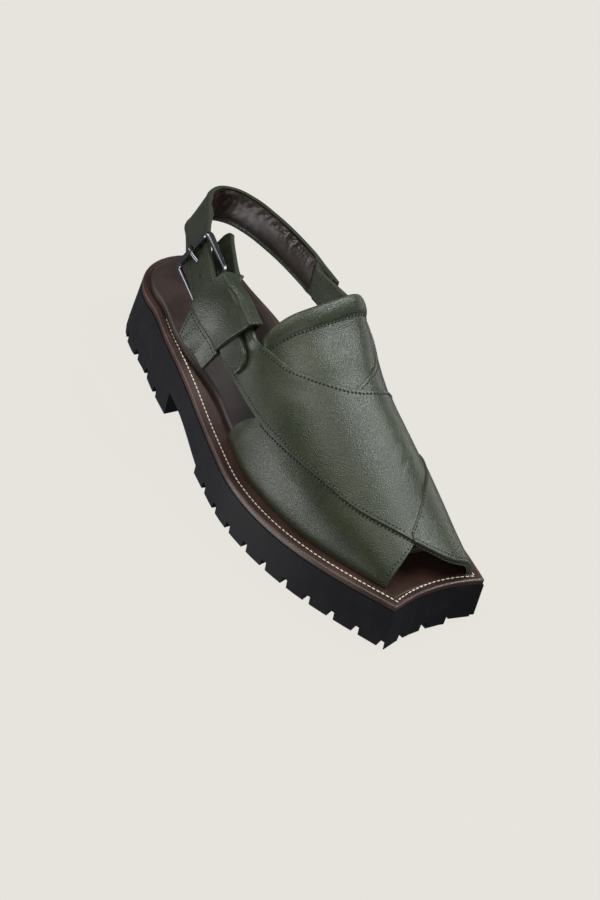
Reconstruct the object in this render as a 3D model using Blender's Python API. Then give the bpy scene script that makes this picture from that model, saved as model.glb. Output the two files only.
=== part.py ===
"""Peshawari chappal, a right shoe: a lugged rubber sole, a leather welt and footbed,
crossed leather bands over the foot, and a buckled strap round the heel.

While it is modelled, x runs forward from the back of the heel, y to the medial side from the
heel's centre line, and z up from the floor. Every mesh is then moved so that the origin lies
under the middle of the sole. Tables hold shares of the named sizes that they follow.
"""
import math

import bmesh
import bpy
from mathutils import Matrix, Vector

for old in list(bpy.data.objects):
    bpy.data.objects.remove(old, do_unlink=True)

# Driving sizes, in metres

SOLE_LENGTH = 0.3028
BALL_WIDTH = 0.1024
HEEL_WIDTH = 0.0692
TOE_WIDTH = 0.0606
HEEL_HEIGHT = 0.0385
FOREFOOT_HEIGHT = 0.0250
INSTEP_RISE = 0.0843
CLEARANCE = 0.0003

# The sole's plan
HEEL_ROUND = 0.0430
HEEL_RAKE = 0.0080
HEEL_CORNER = math.radians(45)
HEEL_BOW_REACH = 0.16
TOE_SLANT = 0.0035
TOE_BOW = 0.0050
TOE_BOW_REACH = 0.16

# The outsole
LUG_DEPTH = 0.0055
LUG_BAND = 0.0130
NOTCH_WIDTH = 0.0052
NOTCH_PITCH = 0.0166
NOTCH_REACH = 0.0150
NOTCH_START = 0.0050
BAR_LENGTHWISE = 0.0065
BAR_CHEVRON = 0.0060
HEEL_BREAST = 0.0930
ARCH_CLEARANCE = 0.0165
ARCH_END = 0.1430
TOE_SPRING = 0.0020
TOE_SPRING_START = 0.2420

# The welt and the footbed
WELT_THICKNESS = 0.0040
WELT_INSET = 0.0006
WELT_ROUND = 0.0012
INSOLE_THICKNESS = 0.0050
INSOLE_ROUND = 0.0030
INSOLE_HEEL_INSET = 0.0048
INSOLE_FRONT = 0.2850

# The upper
LATERAL_FEATHER = 0.0128
MEDIAL_FEATHER = 0.0102
WAIST_SPREAD = 0.0045
LEATHER = 0.0022
LAYER_STEP = 0.0005
COLLAR_PUFF = 0.0030
COLLAR_ROLL = 0.0095

# The heel strap, its buckle and its keeper
STRAP_WIDTH = 0.0248
BILLET_WIDTH = 0.0200
STRAP_HEIGHT = 0.0900
PADDED_STRAP = 0.0045
BILLET = 0.0026
EAR_WIDTH = 0.0285
EAR_SHIFT = 0.0042
EAR_THICKNESS = 0.0022
EAR_TAIL = 0.0140
EAR_TAIL_WIDTH = 0.0200
EAR_TAIL_SHIFT = 0.0085
KNUCKLE_WALL = 0.0020
BUCKLE_WIRE = 0.0032
BUCKLE_LENGTH = 0.0280
BUCKLE_SIDE_GAP = 0.0028
PRONG_WIRE = 0.0020
PRONG_SLOT_WIDTH = 0.0032
PRONG_SLOT_LENGTH = 0.0105
KEEPER_GAP = 0.0068
KEEPER_LENGTH = 0.0337
KEEPER_SPREAD = 0.0050
KEEPER_SLANT = 0.0035
KEEPER_WALL = 0.0016
KEEPER_FLANGE = 0.0180
FLANGE_THICKNESS = 0.0030

# What follows from them
SOLE_RISE = HEEL_HEIGHT - FOREFOOT_HEIGHT
WIRE_RADIUS = BUCKLE_WIRE / 2
PRONG_RADIUS = PRONG_WIRE / 2
BUCKLE_CORNER = BUCKLE_WIRE
BUCKLE_HALF = BILLET_WIDTH / 2 + BUCKLE_SIDE_GAP + WIRE_RADIUS


# Tables

# station along the sole, lateral half width, medial half width
SOLE_EDGE = (
    (HEEL_ROUND / SOLE_LENGTH, 0.500 * HEEL_WIDTH, 0.462 * HEEL_WIDTH),
    (0.248, 0.578 * HEEL_WIDTH, 0.503 * HEEL_WIDTH),
    (0.380, 0.443 * BALL_WIDTH, 0.361 * BALL_WIDTH),
    (0.495, 0.499 * BALL_WIDTH, 0.405 * BALL_WIDTH),
    (0.611, 0.540 * BALL_WIDTH, 0.449 * BALL_WIDTH),
    (0.710, 0.512 * BALL_WIDTH, 0.474 * BALL_WIDTH),
    (0.809, 0.435 * BALL_WIDTH, 0.474 * BALL_WIDTH),
    (0.908, 0.313 * BALL_WIDTH, 0.452 * BALL_WIDTH),
    (1.000, 0.307 * TOE_WIDTH, 0.693 * TOE_WIDTH),
)

# station along the sole, height of the rubber's top edge
RUBBER_TOP = (
    (0.000, HEEL_HEIGHT),
    (0.198, HEEL_HEIGHT),
    (0.314, FOREFOOT_HEIGHT + 0.815 * SOLE_RISE),
    (0.430, FOREFOOT_HEIGHT + 0.415 * SOLE_RISE),
    (0.545, FOREFOOT_HEIGHT + 0.135 * SOLE_RISE),
    (0.677, FOREFOOT_HEIGHT),
    (0.826, FOREFOOT_HEIGHT + 0.60 * TOE_SPRING),
    (1.000, FOREFOOT_HEIGHT + 2.50 * TOE_SPRING),
)

# station along the sole, crest's distance to the medial side, crest's height over the welt,
# roundness of the lateral half and of the medial half of the section
LAST_CREST = (
    (0.200, 0.070 * BALL_WIDTH, 1.155 * INSTEP_RISE, 2.2, 3.0),
    (0.297, 0.070 * BALL_WIDTH, 1.170 * INSTEP_RISE, 2.4, 3.2),
    (0.396, 0.100 * BALL_WIDTH, 1.116 * INSTEP_RISE, 2.5, 3.8),
    (0.482, 0.135 * BALL_WIDTH, 1.000 * INSTEP_RISE, 2.5, 4.6),
    (0.515, 0.130 * BALL_WIDTH, 0.905 * INSTEP_RISE, 2.5, 4.2),
    (0.561, 0.112 * BALL_WIDTH, 0.822 * INSTEP_RISE, 2.45, 3.3),
    (0.627, 0.092 * BALL_WIDTH, 0.752 * INSTEP_RISE, 2.4, 2.5),
    (0.710, 0.090 * BALL_WIDTH, 0.620 * INSTEP_RISE, 2.35, 2.35),
    (0.809, 0.103 * BALL_WIDTH, 0.430 * INSTEP_RISE, 2.3, 2.3),
    (0.892, 0.117 * BALL_WIDTH, 0.262 * INSTEP_RISE, 2.3, 2.2),
    (0.964, 0.132 * BALL_WIDTH, 0.120 * INSTEP_RISE, 2.3, 2.2),
)

# Each leather panel is a row of ribs: station and girth share where the rib starts, the same
# where it ends, and how far its middle bows forward, as a share of the length. Girth shares
# run over the last from the lateral foot line, 0, to the medial foot line, 1.
TONGUE_RIBS = (
    (0.474, 0.300, 0.506, 0.262, 0.0),
    (0.476, 0.340, 0.541, 0.304, 0.0),
    (0.479, 0.390, 0.591, 0.345, 0.0),
    (0.484, 0.455, 0.637, 0.410, 0.0),
    (0.484, 0.510, 0.664, 0.480, 0.0),
    (0.481, 0.560, 0.674, 0.545, 0.0),
    (0.477, 0.610, 0.667, 0.620, 0.0),
    (0.470, 0.660, 0.642, 0.690, 0.0),
    (0.460, 0.720, 0.600, 0.760, 0.0),
)
LATERAL_BAND_RIBS = (
    (0.440, 0.146, 0.484, 0.296, 0.0),
    (0.462, 0.151, 0.487, 0.298, 0.0),
    (0.486, 0.159, 0.491, 0.303, 0.0),
    (0.528, 0.174, 0.510, 0.321, 0.0),
    (0.594, 0.194, 0.545, 0.350, 0.0),
    (0.670, 0.223, 0.575, 0.386, 0.0),
    (0.743, 0.248, 0.604, 0.429, 0.0),
    (0.819, 0.279, 0.627, 0.479, 0.0),
    (0.868, 0.340, 0.641, 0.529, 0.0),
    (0.908, 0.429, 0.647, 0.593, 0.0),
    (0.931, 0.521, 0.641, 0.650, 0.0),
    (0.948, 0.621, 0.627, 0.710, 0.0),
    (0.958, 0.743, 0.604, 0.790, 0.0),
    (0.961, 0.870, 0.565, 0.890, 0.0),
    (0.961, 1.000, 0.528, 1.000, 0.0),
)
MEDIAL_BAND_RIBS = (
    (0.345, 0.798, 0.345, 0.718, 0.0),
    (0.375, 0.803, 0.375, 0.706, 0.0),
    (0.412, 0.818, 0.412, 0.692, 0.0),
    (0.470, 0.836, 0.470, 0.672, 0.0),
    (0.530, 0.830, 0.520, 0.655, 0.0),
    (0.590, 0.805, 0.560, 0.650, 0.0),
    (0.640, 0.765, 0.590, 0.630, 0.0),
    (0.668, 0.700, 0.614, 0.593, 0.0),
    (0.680, 0.630, 0.631, 0.550, 0.0),
    (0.686, 0.560, 0.641, 0.510, 0.0),
    (0.690, 0.500, 0.645, 0.470, 0.0),
)
LATERAL_WING_RIBS = (
    (0.502, 0.000, 0.594, 0.235, -0.012),
    (0.560, 0.000, 0.630, 0.245, -0.004),
    (0.627, 0.000, 0.677, 0.262, 0.0),
    (0.700, 0.000, 0.733, 0.287, 0.0),
    (0.766, 0.000, 0.786, 0.307, 0.0),
    (0.832, 0.000, 0.839, 0.340, 0.0),
    (0.892, 0.000, 0.888, 0.415, 0.0),
    (0.944, 0.000, 0.911, 0.445, 0.009),
)
MEDIAL_WING_RIBS = (
    (0.680, 1.000, 0.961, 1.000, 0.0),
    (0.703, 0.870, 0.962, 0.860, 0.0),
    (0.740, 0.765, 0.960, 0.740, 0.0),
    (0.783, 0.715, 0.954, 0.660, 0.0),
    (0.822, 0.655, 0.944, 0.580, 0.0),
    (0.855, 0.585, 0.932, 0.515, 0.0),
    (0.878, 0.515, 0.921, 0.465, 0.0),
    (0.894, 0.450, 0.911, 0.428, 0.0),
)

# The heel strap's centre line, from the medial band round the heel to its free end: station
# along the strap, distance forward, distance to the medial side, height, and how far the
# strap's top leans to the medial side, in degrees.
STRAP_LINE = (
    (0.000, 0.386 * SOLE_LENGTH, 0.361 * BALL_WIDTH, 0.990 * STRAP_HEIGHT, 1.0),
    (0.045, 0.345 * SOLE_LENGTH, 0.360 * BALL_WIDTH, 0.990 * STRAP_HEIGHT, 0.0),
    (0.110, 0.287 * SOLE_LENGTH, 0.355 * BALL_WIDTH, 0.988 * STRAP_HEIGHT, 0.0),
    (0.250, 0.172 * SOLE_LENGTH, 0.486 * HEEL_WIDTH, 0.970 * STRAP_HEIGHT, 0.0),
    (0.322, 0.112 * SOLE_LENGTH, 0.428 * HEEL_WIDTH, 0.960 * STRAP_HEIGHT, 0.0),
    (0.377, 0.071 * SOLE_LENGTH, 0.335 * HEEL_WIDTH, 0.953 * STRAP_HEIGHT, 2.0),
    (0.409, 0.056 * SOLE_LENGTH, 0.240 * HEEL_WIDTH, 0.951 * STRAP_HEIGHT, 5.0),
    (0.443, 0.060 * SOLE_LENGTH, 0.118 * HEEL_WIDTH, 0.962 * STRAP_HEIGHT, 12.0),
    (0.493, 0.087 * SOLE_LENGTH, -0.022 * HEEL_WIDTH, 0.985 * STRAP_HEIGHT, 24.0),
    (0.550, 0.128 * SOLE_LENGTH, -0.132 * HEEL_WIDTH, 1.014 * STRAP_HEIGHT, 29.0),
    (0.602, 0.166 * SOLE_LENGTH, -0.240 * HEEL_WIDTH, 1.036 * STRAP_HEIGHT, 29.0),
    (0.666, 0.213 * SOLE_LENGTH, -0.358 * HEEL_WIDTH, 1.050 * STRAP_HEIGHT, 26.0),
    (0.725, 0.259 * SOLE_LENGTH, -0.302 * BALL_WIDTH, 1.049 * STRAP_HEIGHT, 25.0),
    (0.793, 0.314 * SOLE_LENGTH, -0.359 * BALL_WIDTH, 1.033 * STRAP_HEIGHT, 24.0),
    (0.841, 0.353 * SOLE_LENGTH, -0.365 * BALL_WIDTH, 0.998 * STRAP_HEIGHT, 18.0),
    (0.889, 0.391 * SOLE_LENGTH, -0.353 * BALL_WIDTH, 0.951 * STRAP_HEIGHT, 14.0),
    (0.934, 0.428 * SOLE_LENGTH, -0.358 * BALL_WIDTH, 0.907 * STRAP_HEIGHT, 13.0),
    (1.000, 0.481 * SOLE_LENGTH, -0.381 * BALL_WIDTH, 0.844 * STRAP_HEIGHT, 13.0),
)
BAR_STATION = 0.666


# Reading the tables

def row_slope(rows, k, column):
    """The slope of a table's column at row k, for a smooth curve through uneven stations."""
    if k == 0:
        return 0.0
    if k == len(rows) - 1:
        return (rows[k][column] - rows[k - 1][column]) / (rows[k][0] - rows[k - 1][0])
    before, here, after = rows[k - 1], rows[k], rows[k + 1]
    slope_before = (here[column] - before[column]) / (here[0] - before[0])
    slope_after = (after[column] - here[column]) / (after[0] - here[0])
    weight = (here[0] - before[0]) / (after[0] - before[0])
    return slope_after * weight + slope_before * (1 - weight)


def read_table(rows, station):
    """All the columns of a table at a station, on a cubic curve through its rows."""
    if station <= rows[0][0]:
        return list(rows[0][1:])
    if station >= rows[-1][0]:
        return list(rows[-1][1:])
    k = max(i for i in range(len(rows) - 1) if rows[i][0] <= station)
    span = rows[k + 1][0] - rows[k][0]
    t = (station - rows[k][0]) / span
    values = []
    for column in range(1, len(rows[0])):
        start, end = rows[k][column], rows[k + 1][column]
        leave = row_slope(rows, k, column) * span
        arrive = row_slope(rows, k + 1, column) * span
        values.append((2 * t**3 - 3 * t**2 + 1) * start + (t**3 - 2 * t**2 + t) * leave
                      + (3 * t**2 - 2 * t**3) * end + (t**3 - t**2) * arrive)
    return values


def read_ribs(ribs, share):
    """A panel's rib at a share of the way along the panel."""
    last = len(ribs) - 1
    rows = [(k / last,) + rib for k, rib in enumerate(ribs)]
    return read_table(rows, share)


def ease(value, start, end):
    """0 before start, 1 after end, and a smooth rise between."""
    t = min(max((value - start) / (end - start), 0.0), 1.0)
    return t * t * (3 - 2 * t)


# Shapes that pieces share

def half_widths(x):
    """Lateral and medial half width of the sole at a distance from the back of the heel."""
    lateral, medial = read_table(SOLE_EDGE, x / SOLE_LENGTH)
    if x < HEEL_ROUND:
        share = math.sqrt(max(0.0, 1 - ((HEEL_ROUND - x) / HEEL_ROUND) ** 2))
        return lateral * share, medial * share
    return lateral, medial


def rubber_top(x):
    return read_table(RUBBER_TOP, x / SOLE_LENGTH)[0]


def rubber_bottom(x):
    """The ground side of the lugs: flat, with the toe sprung up."""
    return TOE_SPRING * ease(x, TOE_SPRING_START, 2 * SOLE_LENGTH - TOE_SPRING_START) * 2


def welt_top(x):
    return rubber_top(x) + WELT_THICKNESS


def side_point(x, side, inset, back=0.0):
    """The edge of the sole's plan on its lateral (0) or medial (1) side, moved in by inset.
    The plan's back lies forward of the heel's back at the ground by back."""
    if x < HEEL_ROUND:
        full = half_widths(HEEL_ROUND)[side] - inset
        depth = HEEL_ROUND - back - inset
        width = full * math.sqrt(max(0.0, 1 - ((HEEL_ROUND - x) / depth) ** 2))
    else:
        step = 0.001
        slope = (half_widths(x + step)[side] - half_widths(x)[side]) / step
        width = half_widths(x)[side] - inset * math.hypot(1, slope)
    return -width if side == 0 else width


def plan_point(u, v, lateral_inset, medial_inset, back=0.0, front=SOLE_LENGTH):
    """A point of the sole's plan: u from the heel to the toe, v from lateral to medial."""
    inset = lateral_inset + (medial_inset - lateral_inset) * v
    depth = HEEL_ROUND - back - inset
    corner = HEEL_ROUND - depth * math.cos(HEEL_CORNER)
    toe = front - inset
    x_lateral = corner + (toe - corner) * u
    x_medial = corner + (toe - TOE_SLANT - corner) * u
    y_lateral = side_point(x_lateral, 0, lateral_inset, back)
    y_medial = side_point(x_medial, 1, medial_inset, back)
    x = x_lateral + (x_medial - x_lateral) * v
    y = y_lateral + (y_medial - y_lateral) * v

    angle = (2 * v - 1) * HEEL_CORNER
    half = half_widths(HEEL_ROUND)[1 if v > 0.5 else 0] - inset
    heel_fade = 1 - ease(u, 0.0, HEEL_BOW_REACH)
    x += heel_fade * (HEEL_ROUND - depth * math.cos(angle) - corner)
    y += heel_fade * half * (math.sin(angle) - (2 * v - 1) * math.sin(HEEL_CORNER))

    toe_fade = ease(u, 1 - TOE_BOW_REACH, 1.0)
    x -= toe_fade * TOE_BOW * 4 * v * (1 - v)
    return x, y


SECTION_STEPS = 40
sections = {}


def last_section(x):
    """One section over the last: its points, and the share of the girth at each of them."""
    key = round(x, 6)
    if key in sections:
        return sections[key]
    lateral, medial = half_widths(x)
    crest_y, rise, round_lateral, round_medial = read_table(LAST_CREST, x / SOLE_LENGTH)
    foot_z = welt_top(x) + CLEARANCE
    medial_feather = MEDIAL_FEATHER - WAIST_SPREAD * (1 - ease(x, 0.52 * SOLE_LENGTH, 0.68 * SOLE_LENGTH))
    points = []
    for k in range(SECTION_STEPS + 1):
        angle = math.pi * k / SECTION_STEPS
        if math.cos(angle) > 0:
            power, foot = 2 / round_lateral, -(lateral - LATERAL_FEATHER)
        else:
            power, foot = 2 / round_medial, medial - medial_feather
        y = crest_y + (foot - crest_y) * abs(math.cos(angle)) ** power
        z = foot_z + rise * max(math.sin(angle), 0.0) ** power
        points.append((y, z))
    girth = [0.0]
    for one, two in zip(points, points[1:]):
        girth.append(girth[-1] + math.dist(one, two))
    sections[key] = points, [length / girth[-1] for length in girth]
    return sections[key]


def last_point(x, girth):
    """The point of the last at a distance forward and a share of the girth."""
    points, shares = last_section(x)
    girth = min(max(girth, 0.0), 1.0)
    k = 0
    while k < len(points) - 2 and shares[k + 1] < girth:
        k += 1
    t = (girth - shares[k]) / (shares[k + 1] - shares[k])
    (y0, z0), (y1, z1) = points[k], points[k + 1]
    return Vector((x, y0 + (y1 - y0) * t, z0 + (z1 - z0) * t))


def lateral_girth(x, z):
    """The share of the girth at which the last's lateral side reaches a height."""
    points, shares = last_section(x)
    k = 0
    while k < SECTION_STEPS // 2 - 1 and points[k + 1][1] < z:
        k += 1
    t = (z - points[k][1]) / (points[k + 1][1] - points[k][1])
    return shares[k] + (shares[k + 1] - shares[k]) * t


def last_normal(x, girth):
    """The direction out of the last; at the foot lines it lies level."""
    step_x, step_girth = 0.002, 0.012
    along = last_point(x + step_x, girth) - last_point(x - step_x, girth)
    around = (last_point(x, min(girth + step_girth, 1.0))
              - last_point(x, max(girth - step_girth, 0.0)))
    normal = along.cross(around)
    at_foot = max(1 - girth / step_girth, 1 - (1 - girth) / step_girth, 0.0)
    normal.z *= 1 - min(at_foot, 1.0)
    return normal.normalized()


# Making the objects

def sideways_middle():
    """How far the sole's middle lies from the heel's centre line, to the medial side."""
    widths = [half_widths(SOLE_LENGTH * k / 200) for k in range(201)]
    return (max(w[1] for w in widths) - max(w[0] for w in widths)) / 2


TO_ORIGIN = Vector((-SOLE_LENGTH / 2, -sideways_middle(), 0.0))


def material(name, colour, roughness, metallic=0.0):
    made = bpy.data.materials.new(name)
    made.use_nodes = True
    shader = made.node_tree.nodes["Principled BSDF"]
    shader.inputs["Base Color"].default_value = (*colour, 1.0)
    shader.inputs["Roughness"].default_value = roughness
    shader.inputs["Metallic"].default_value = metallic
    return made


def to_object(bm, name, finish=None):
    """Turn a bmesh into an object; without a finish it is a guide or a cutter."""
    bmesh.ops.recalc_face_normals(bm, faces=bm.faces)
    mesh = bpy.data.meshes.new(name)
    bm.to_mesh(mesh)
    bm.free()
    mesh.transform(Matrix.Translation(TO_ORIGIN))
    made = bpy.data.objects.new(name, mesh)
    bpy.context.scene.collection.objects.link(made)
    if finish is None:
        made.hide_render = True
        made.display_type = "WIRE"
    else:
        mesh.materials.append(finish)
        mesh.shade_smooth()
        mesh.set_sharp_from_angle(angle=math.radians(35))
    return made


def combine(target, tool, operation, crossing=False):
    """Join a solid to the target, or cut it out of the target; a tool's own solids may cross."""
    change = target.modifiers.new(tool.name, "BOOLEAN")
    change.object = tool
    change.operation = operation
    change.solver = "EXACT"
    change.use_self = crossing


def block(along, across, place, layers=1):
    """A closed solid from a block of unit size, cut into a grid, each corner placed by place."""
    bm = bmesh.new()
    bmesh.ops.create_grid(bm, x_segments=along, y_segments=across, size=0.5)
    top = bm.faces[:]
    for layer in range(layers):
        top = bmesh.ops.extrude_face_region(bm, geom=top, use_keep_orig=layer == 0)["geom"]
        corners = [part for part in top if isinstance(part, bmesh.types.BMVert)]
        bmesh.ops.translate(bm, vec=(0, 0, 1 / layers), verts=corners)
    for vert in bm.verts:
        vert.co = place(vert.co.x + 0.5, vert.co.y + 0.5, vert.co.z)
    bmesh.ops.triangulate(bm, faces=bm.faces)
    return bm


def loft(rings, closed=False):
    """A solid through rings of points, with its ends capped, or closed on itself."""
    bm = bmesh.new()
    loops = [[bm.verts.new(point) for point in ring] for ring in rings]
    pairs = list(zip(loops, loops[1:]))
    if closed:
        pairs.append((loops[-1], loops[0]))
    else:
        bm.faces.new(loops[0])
        bm.faces.new(loops[-1])
    count = len(loops[0])
    for one, two in pairs:
        for k in range(count):
            bm.faces.new((one[k], one[(k + 1) % count], two[(k + 1) % count], two[k]))
    bmesh.ops.triangulate(bm, faces=bm.faces)
    return bm


def plate(u_range, along, across, insets, low, high, backs=(HEEL_RAKE, HEEL_RAKE), front=SOLE_LENGTH,
          soft=0.0):
    """A plate of the sole's plan between two heights, which follow the distance forward. Its top
    edge is rounded by soft, in three layers."""
    layers = 3 if soft else 1

    def place(u, v, w):
        u = u_range[0] + (u_range[1] - u_range[0]) * u
        turn = math.pi / 2 * max(0.0, (w * layers - 1) / 2) if soft else 0.0
        draw = soft * (1 - math.cos(turn))
        lateral_inset, medial_inset = insets(u * SOLE_LENGTH)
        back = backs[1] if w > 0.5 else backs[0]
        x, y = plan_point(u, v, lateral_inset + draw, medial_inset + draw, back, front)
        return x, y, high(x) - soft * (1 - math.sin(turn)) if w > 0.1 else low(x)
    return block(along, across, place, layers)


# Sole, welt and footbed

def edge_route(spacing, start):
    """Points along the sole's edge at even spacing, from the medial side of the heel round the
    back, along the lateral side, round the toe and back, each with its way inwards."""
    loop = [plan_point(0.0, 1 - k / 16, 0.0, 0.0) for k in range(16)]
    loop += [plan_point(k / 90, 0.0, 0.0, 0.0) for k in range(90)]
    loop += [plan_point(1.0, k / 16, 0.0, 0.0) for k in range(16)]
    loop += [plan_point(1 - k / 90, 1.0, 0.0, 0.0) for k in range(90)]
    loop = [Vector((x, y, 0.0)) for x, y in loop]
    route = []
    travelled, due = 0.0, start
    for one, two in zip(loop, loop[1:] + loop[:1]):
        length = (two - one).length
        while due <= travelled + length:
            point = one.lerp(two, (due - travelled) / length)
            ahead = (two - one).normalized()
            route.append((point, Vector((-ahead.y, ahead.x, 0.0))))
            due += spacing
        travelled += length
    return route


def notch(point, inward):
    """A wedge that parts two lugs at the edge; it starts outside the sole and below it."""
    along = Vector((inward.y, -inward.x, 0.0))
    floor = rubber_bottom(point.x)

    def place(s, t, w):
        width = NOTCH_WIDTH * (1.0 if w < 0.5 else 0.7)
        spot = point + along * width * (s - 0.5) + inward * (NOTCH_REACH * t - LUG_DEPTH * (1 - t))
        spot.z = floor - LUG_DEPTH if w < 0.5 else floor + 0.94 * LUG_DEPTH
        return spot
    return block(1, 1, place)


def lug_bar(x):
    """A bent bar between the rows of lugs."""
    low = side_point(x, 0, 1.6 * LUG_BAND)
    high = side_point(x, 1, 1.6 * LUG_BAND)

    def place(s, t, w):
        spot_x = x + BAR_CHEVRON * (1 - abs(2 * t - 1)) + BAR_LENGTHWISE * (s - 0.5)
        root = LUG_DEPTH + BAR_LENGTHWISE / 4
        return spot_x, low + (high - low) * t, rubber_bottom(spot_x) + (root if w > 0.5 else 0.0)
    return block(1, 2, place)


def gather(parts, name):
    """Several solids in one guide object."""
    whole = bmesh.new()
    for part in parts:
        part_mesh = bpy.data.meshes.new(name)
        part.to_mesh(part_mesh)
        part.free()
        whole.from_mesh(part_mesh)
        bpy.data.meshes.remove(part_mesh)
    return to_object(whole, name)


def build_outsole():
    sole = plate((0.0, 1.0), 36, 6, lambda x: (0.0, 0.0), rubber_bottom, rubber_top, (0.0, HEEL_RAKE))
    outsole = to_object(sole, "outsole", material("black_rubber", (0.012, 0.012, 0.015), 0.55))
    below = -2 * LUG_DEPTH

    def arch_place(s, t, w):
        x = HEEL_BREAST + (ARCH_END - HEEL_BREAST) * s
        fall = ease(s, 0.05, 1.35) / ease(1, 0.05, 1.35)
        ceiling = LUG_DEPTH + (ARCH_CLEARANCE - LUG_DEPTH) * (1 - fall)
        return x, BALL_WIDTH * (t - 0.5), below if w < 0.5 else ceiling
    combine(outsole, to_object(block(8, 1, arch_place), "arch_cutter"), "DIFFERENCE")

    def band(x):
        return LUG_BAND, LUG_BAND

    def root(x):
        return rubber_bottom(x) + LUG_DEPTH

    heel_end = (HEEL_BREAST - LUG_BAND) / SOLE_LENGTH
    heel_recess = plate((0.0, heel_end), 6, 4, band, lambda x: below, root, (0.0, 0.0))
    fore_start = (ARCH_END - LUG_BAND) / SOLE_LENGTH
    fore_recess = plate((fore_start, 1.0), 13, 2, band, lambda x: below, root)
    combine(outsole, gather((heel_recess, fore_recess), "tread_recess"), "DIFFERENCE")

    solid_back, solid_front = HEEL_BREAST - NOTCH_PITCH / 2, ARCH_END + NOTCH_PITCH / 2
    notches = [notch(point, inward) for point, inward in edge_route(NOTCH_PITCH, NOTCH_START)
               if not solid_back < point.x < solid_front]
    combine(outsole, gather(notches, "notches"), "DIFFERENCE", crossing=True)

    bars = []
    x = 2.1 * LUG_BAND
    while x < SOLE_LENGTH - 2.2 * LUG_BAND:
        if not HEEL_BREAST - 2.2 * LUG_BAND < x < ARCH_END + 0.5 * LUG_BAND:
            bars.append(lug_bar(x))
        x += NOTCH_PITCH
    combine(outsole, gather(bars, "lug_bars"), "UNION")


def build_welt():
    def low(x):
        return rubber_top(x) + CLEARANCE
    leather = material("brown_leather", (0.050, 0.020, 0.013), 0.42)
    shape = plate((0.0, 1.0), 34, 6, lambda x: (WELT_INSET, WELT_INSET), low, welt_top, soft=WELT_ROUND)
    to_object(shape, "welt", leather)


def insole_insets(x):
    """The footbed fills the heel and draws in to stand inside the upper's walls."""
    inside = 2 * CLEARANCE
    share = ease(x, 0.20 * SOLE_LENGTH, 0.44 * SOLE_LENGTH)
    lateral = LATERAL_FEATHER + inside
    medial = MEDIAL_FEATHER + inside
    return (INSOLE_HEEL_INSET + (lateral - INSOLE_HEEL_INSET) * share,
            INSOLE_HEEL_INSET + (medial - INSOLE_HEEL_INSET) * share)


def build_insole():
    def low(x):
        return welt_top(x) + CLEARANCE

    def high(x):
        return welt_top(x) + CLEARANCE + INSOLE_THICKNESS
    leather = material("dark_brown_leather", (0.045, 0.019, 0.013), 0.45)
    shape = plate((0.0, 1.0), 30, 6, insole_insets, low, high, front=INSOLE_FRONT, soft=INSOLE_ROUND)
    to_object(shape, "insole", leather)


# The upper

def panel(ribs, along, across, inner, outer, bunch=1.0):
    """A leather panel on the last between two lifts, each a function of the way along the
    panel and along a rib; a bunch over 1 draws the grid's rows towards the ribs' start."""
    def place(s, t, w):
        t = t ** bunch
        x0, girth0, x1, girth1, bow = read_ribs(ribs, s)
        x = SOLE_LENGTH * (x0 + (x1 - x0) * t + bow * 4 * t * (1 - t))
        girth = girth0 + (girth1 - girth0) * t
        lift = outer(s, t) if w > 0.5 else inner(s, t)
        return last_point(x, girth) + last_normal(x, girth) * lift
    return block(along, across, place)


def flat_lift(lift):
    return lambda s, t: lift


def collar_lift(s, t):
    """The tongue's free edge is a padded roll, which thins out under the bands at both ends."""
    x0, girth0, x1, girth1, bow = read_ribs(TONGUE_RIBS, s)
    rib = (last_point(SOLE_LENGTH * x1, girth1) - last_point(SOLE_LENGTH * x0, girth0)).length
    across_roll = 2 * t * rib / COLLAR_ROLL - 1
    puff = math.sqrt(max(0.0, 1 - across_roll**2))
    ends = ease(s, 0.0, 0.10) * (1 - ease(s, 0.80, 0.92))
    return LEATHER + COLLAR_PUFF * puff * ends


BAND_UNDERSIDE = 1.8 * LAYER_STEP
BAND_FACE = 2.4 * LAYER_STEP + LEATHER


def build_upper():
    green = material("green_leather", (0.030, 0.040, 0.022), 0.38)
    step = LAYER_STEP
    base = panel(LATERAL_BAND_RIBS, 26, 9, flat_lift(BAND_UNDERSIDE), flat_lift(BAND_FACE))
    layers = (
        ("medial_wing", panel(MEDIAL_WING_RIBS, 14, 5, flat_lift(3.4 * step),
                              flat_lift(4.6 * step + LEATHER))),
        ("lateral_wing", panel(LATERAL_WING_RIBS, 15, 6, flat_lift(0.0), flat_lift(LEATHER))),
        ("tongue", panel(TONGUE_RIBS, 14, 12, flat_lift(0.0), collar_lift, 1.8)),
        ("medial_band", panel(MEDIAL_BAND_RIBS, 14, 5, flat_lift(step), flat_lift(1.1 * step + LEATHER))),
        ("ear", build_ear()),
        ("rear_knuckle", build_knuckle(-1)),
        ("front_knuckle", build_knuckle(1)),
    )
    upper = to_object(base, "upper", green)
    for name, shape in layers:
        combine(upper, to_object(shape, name), "UNION")


# The strap's frame: everything at the buckle is placed along the strap, across it and out

STRAP_STEPS = 400


def strap_point(station):
    x, y, z, lean = read_table(STRAP_LINE, station)
    return Vector((x, y, z)), math.radians(lean)


def strap_stations():
    """Stations of the strap by its length, so that distances along it are true."""
    lengths = [0.0]
    for k in range(STRAP_STEPS):
        one = strap_point(k / STRAP_STEPS)[0]
        two = strap_point((k + 1) / STRAP_STEPS)[0]
        lengths.append(lengths[-1] + (two - one).length)
    return lengths


STRAP_LENGTHS = strap_stations()
STRAP_LENGTH = STRAP_LENGTHS[-1]


def station_at(length):
    """The table's station at a distance along the strap."""
    length = min(max(length, 0.0), STRAP_LENGTH)
    k = 0
    while k < STRAP_STEPS - 1 and STRAP_LENGTHS[k + 1] < length:
        k += 1
    share = (length - STRAP_LENGTHS[k]) / (STRAP_LENGTHS[k + 1] - STRAP_LENGTHS[k])
    return (k + share) / STRAP_STEPS


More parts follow.
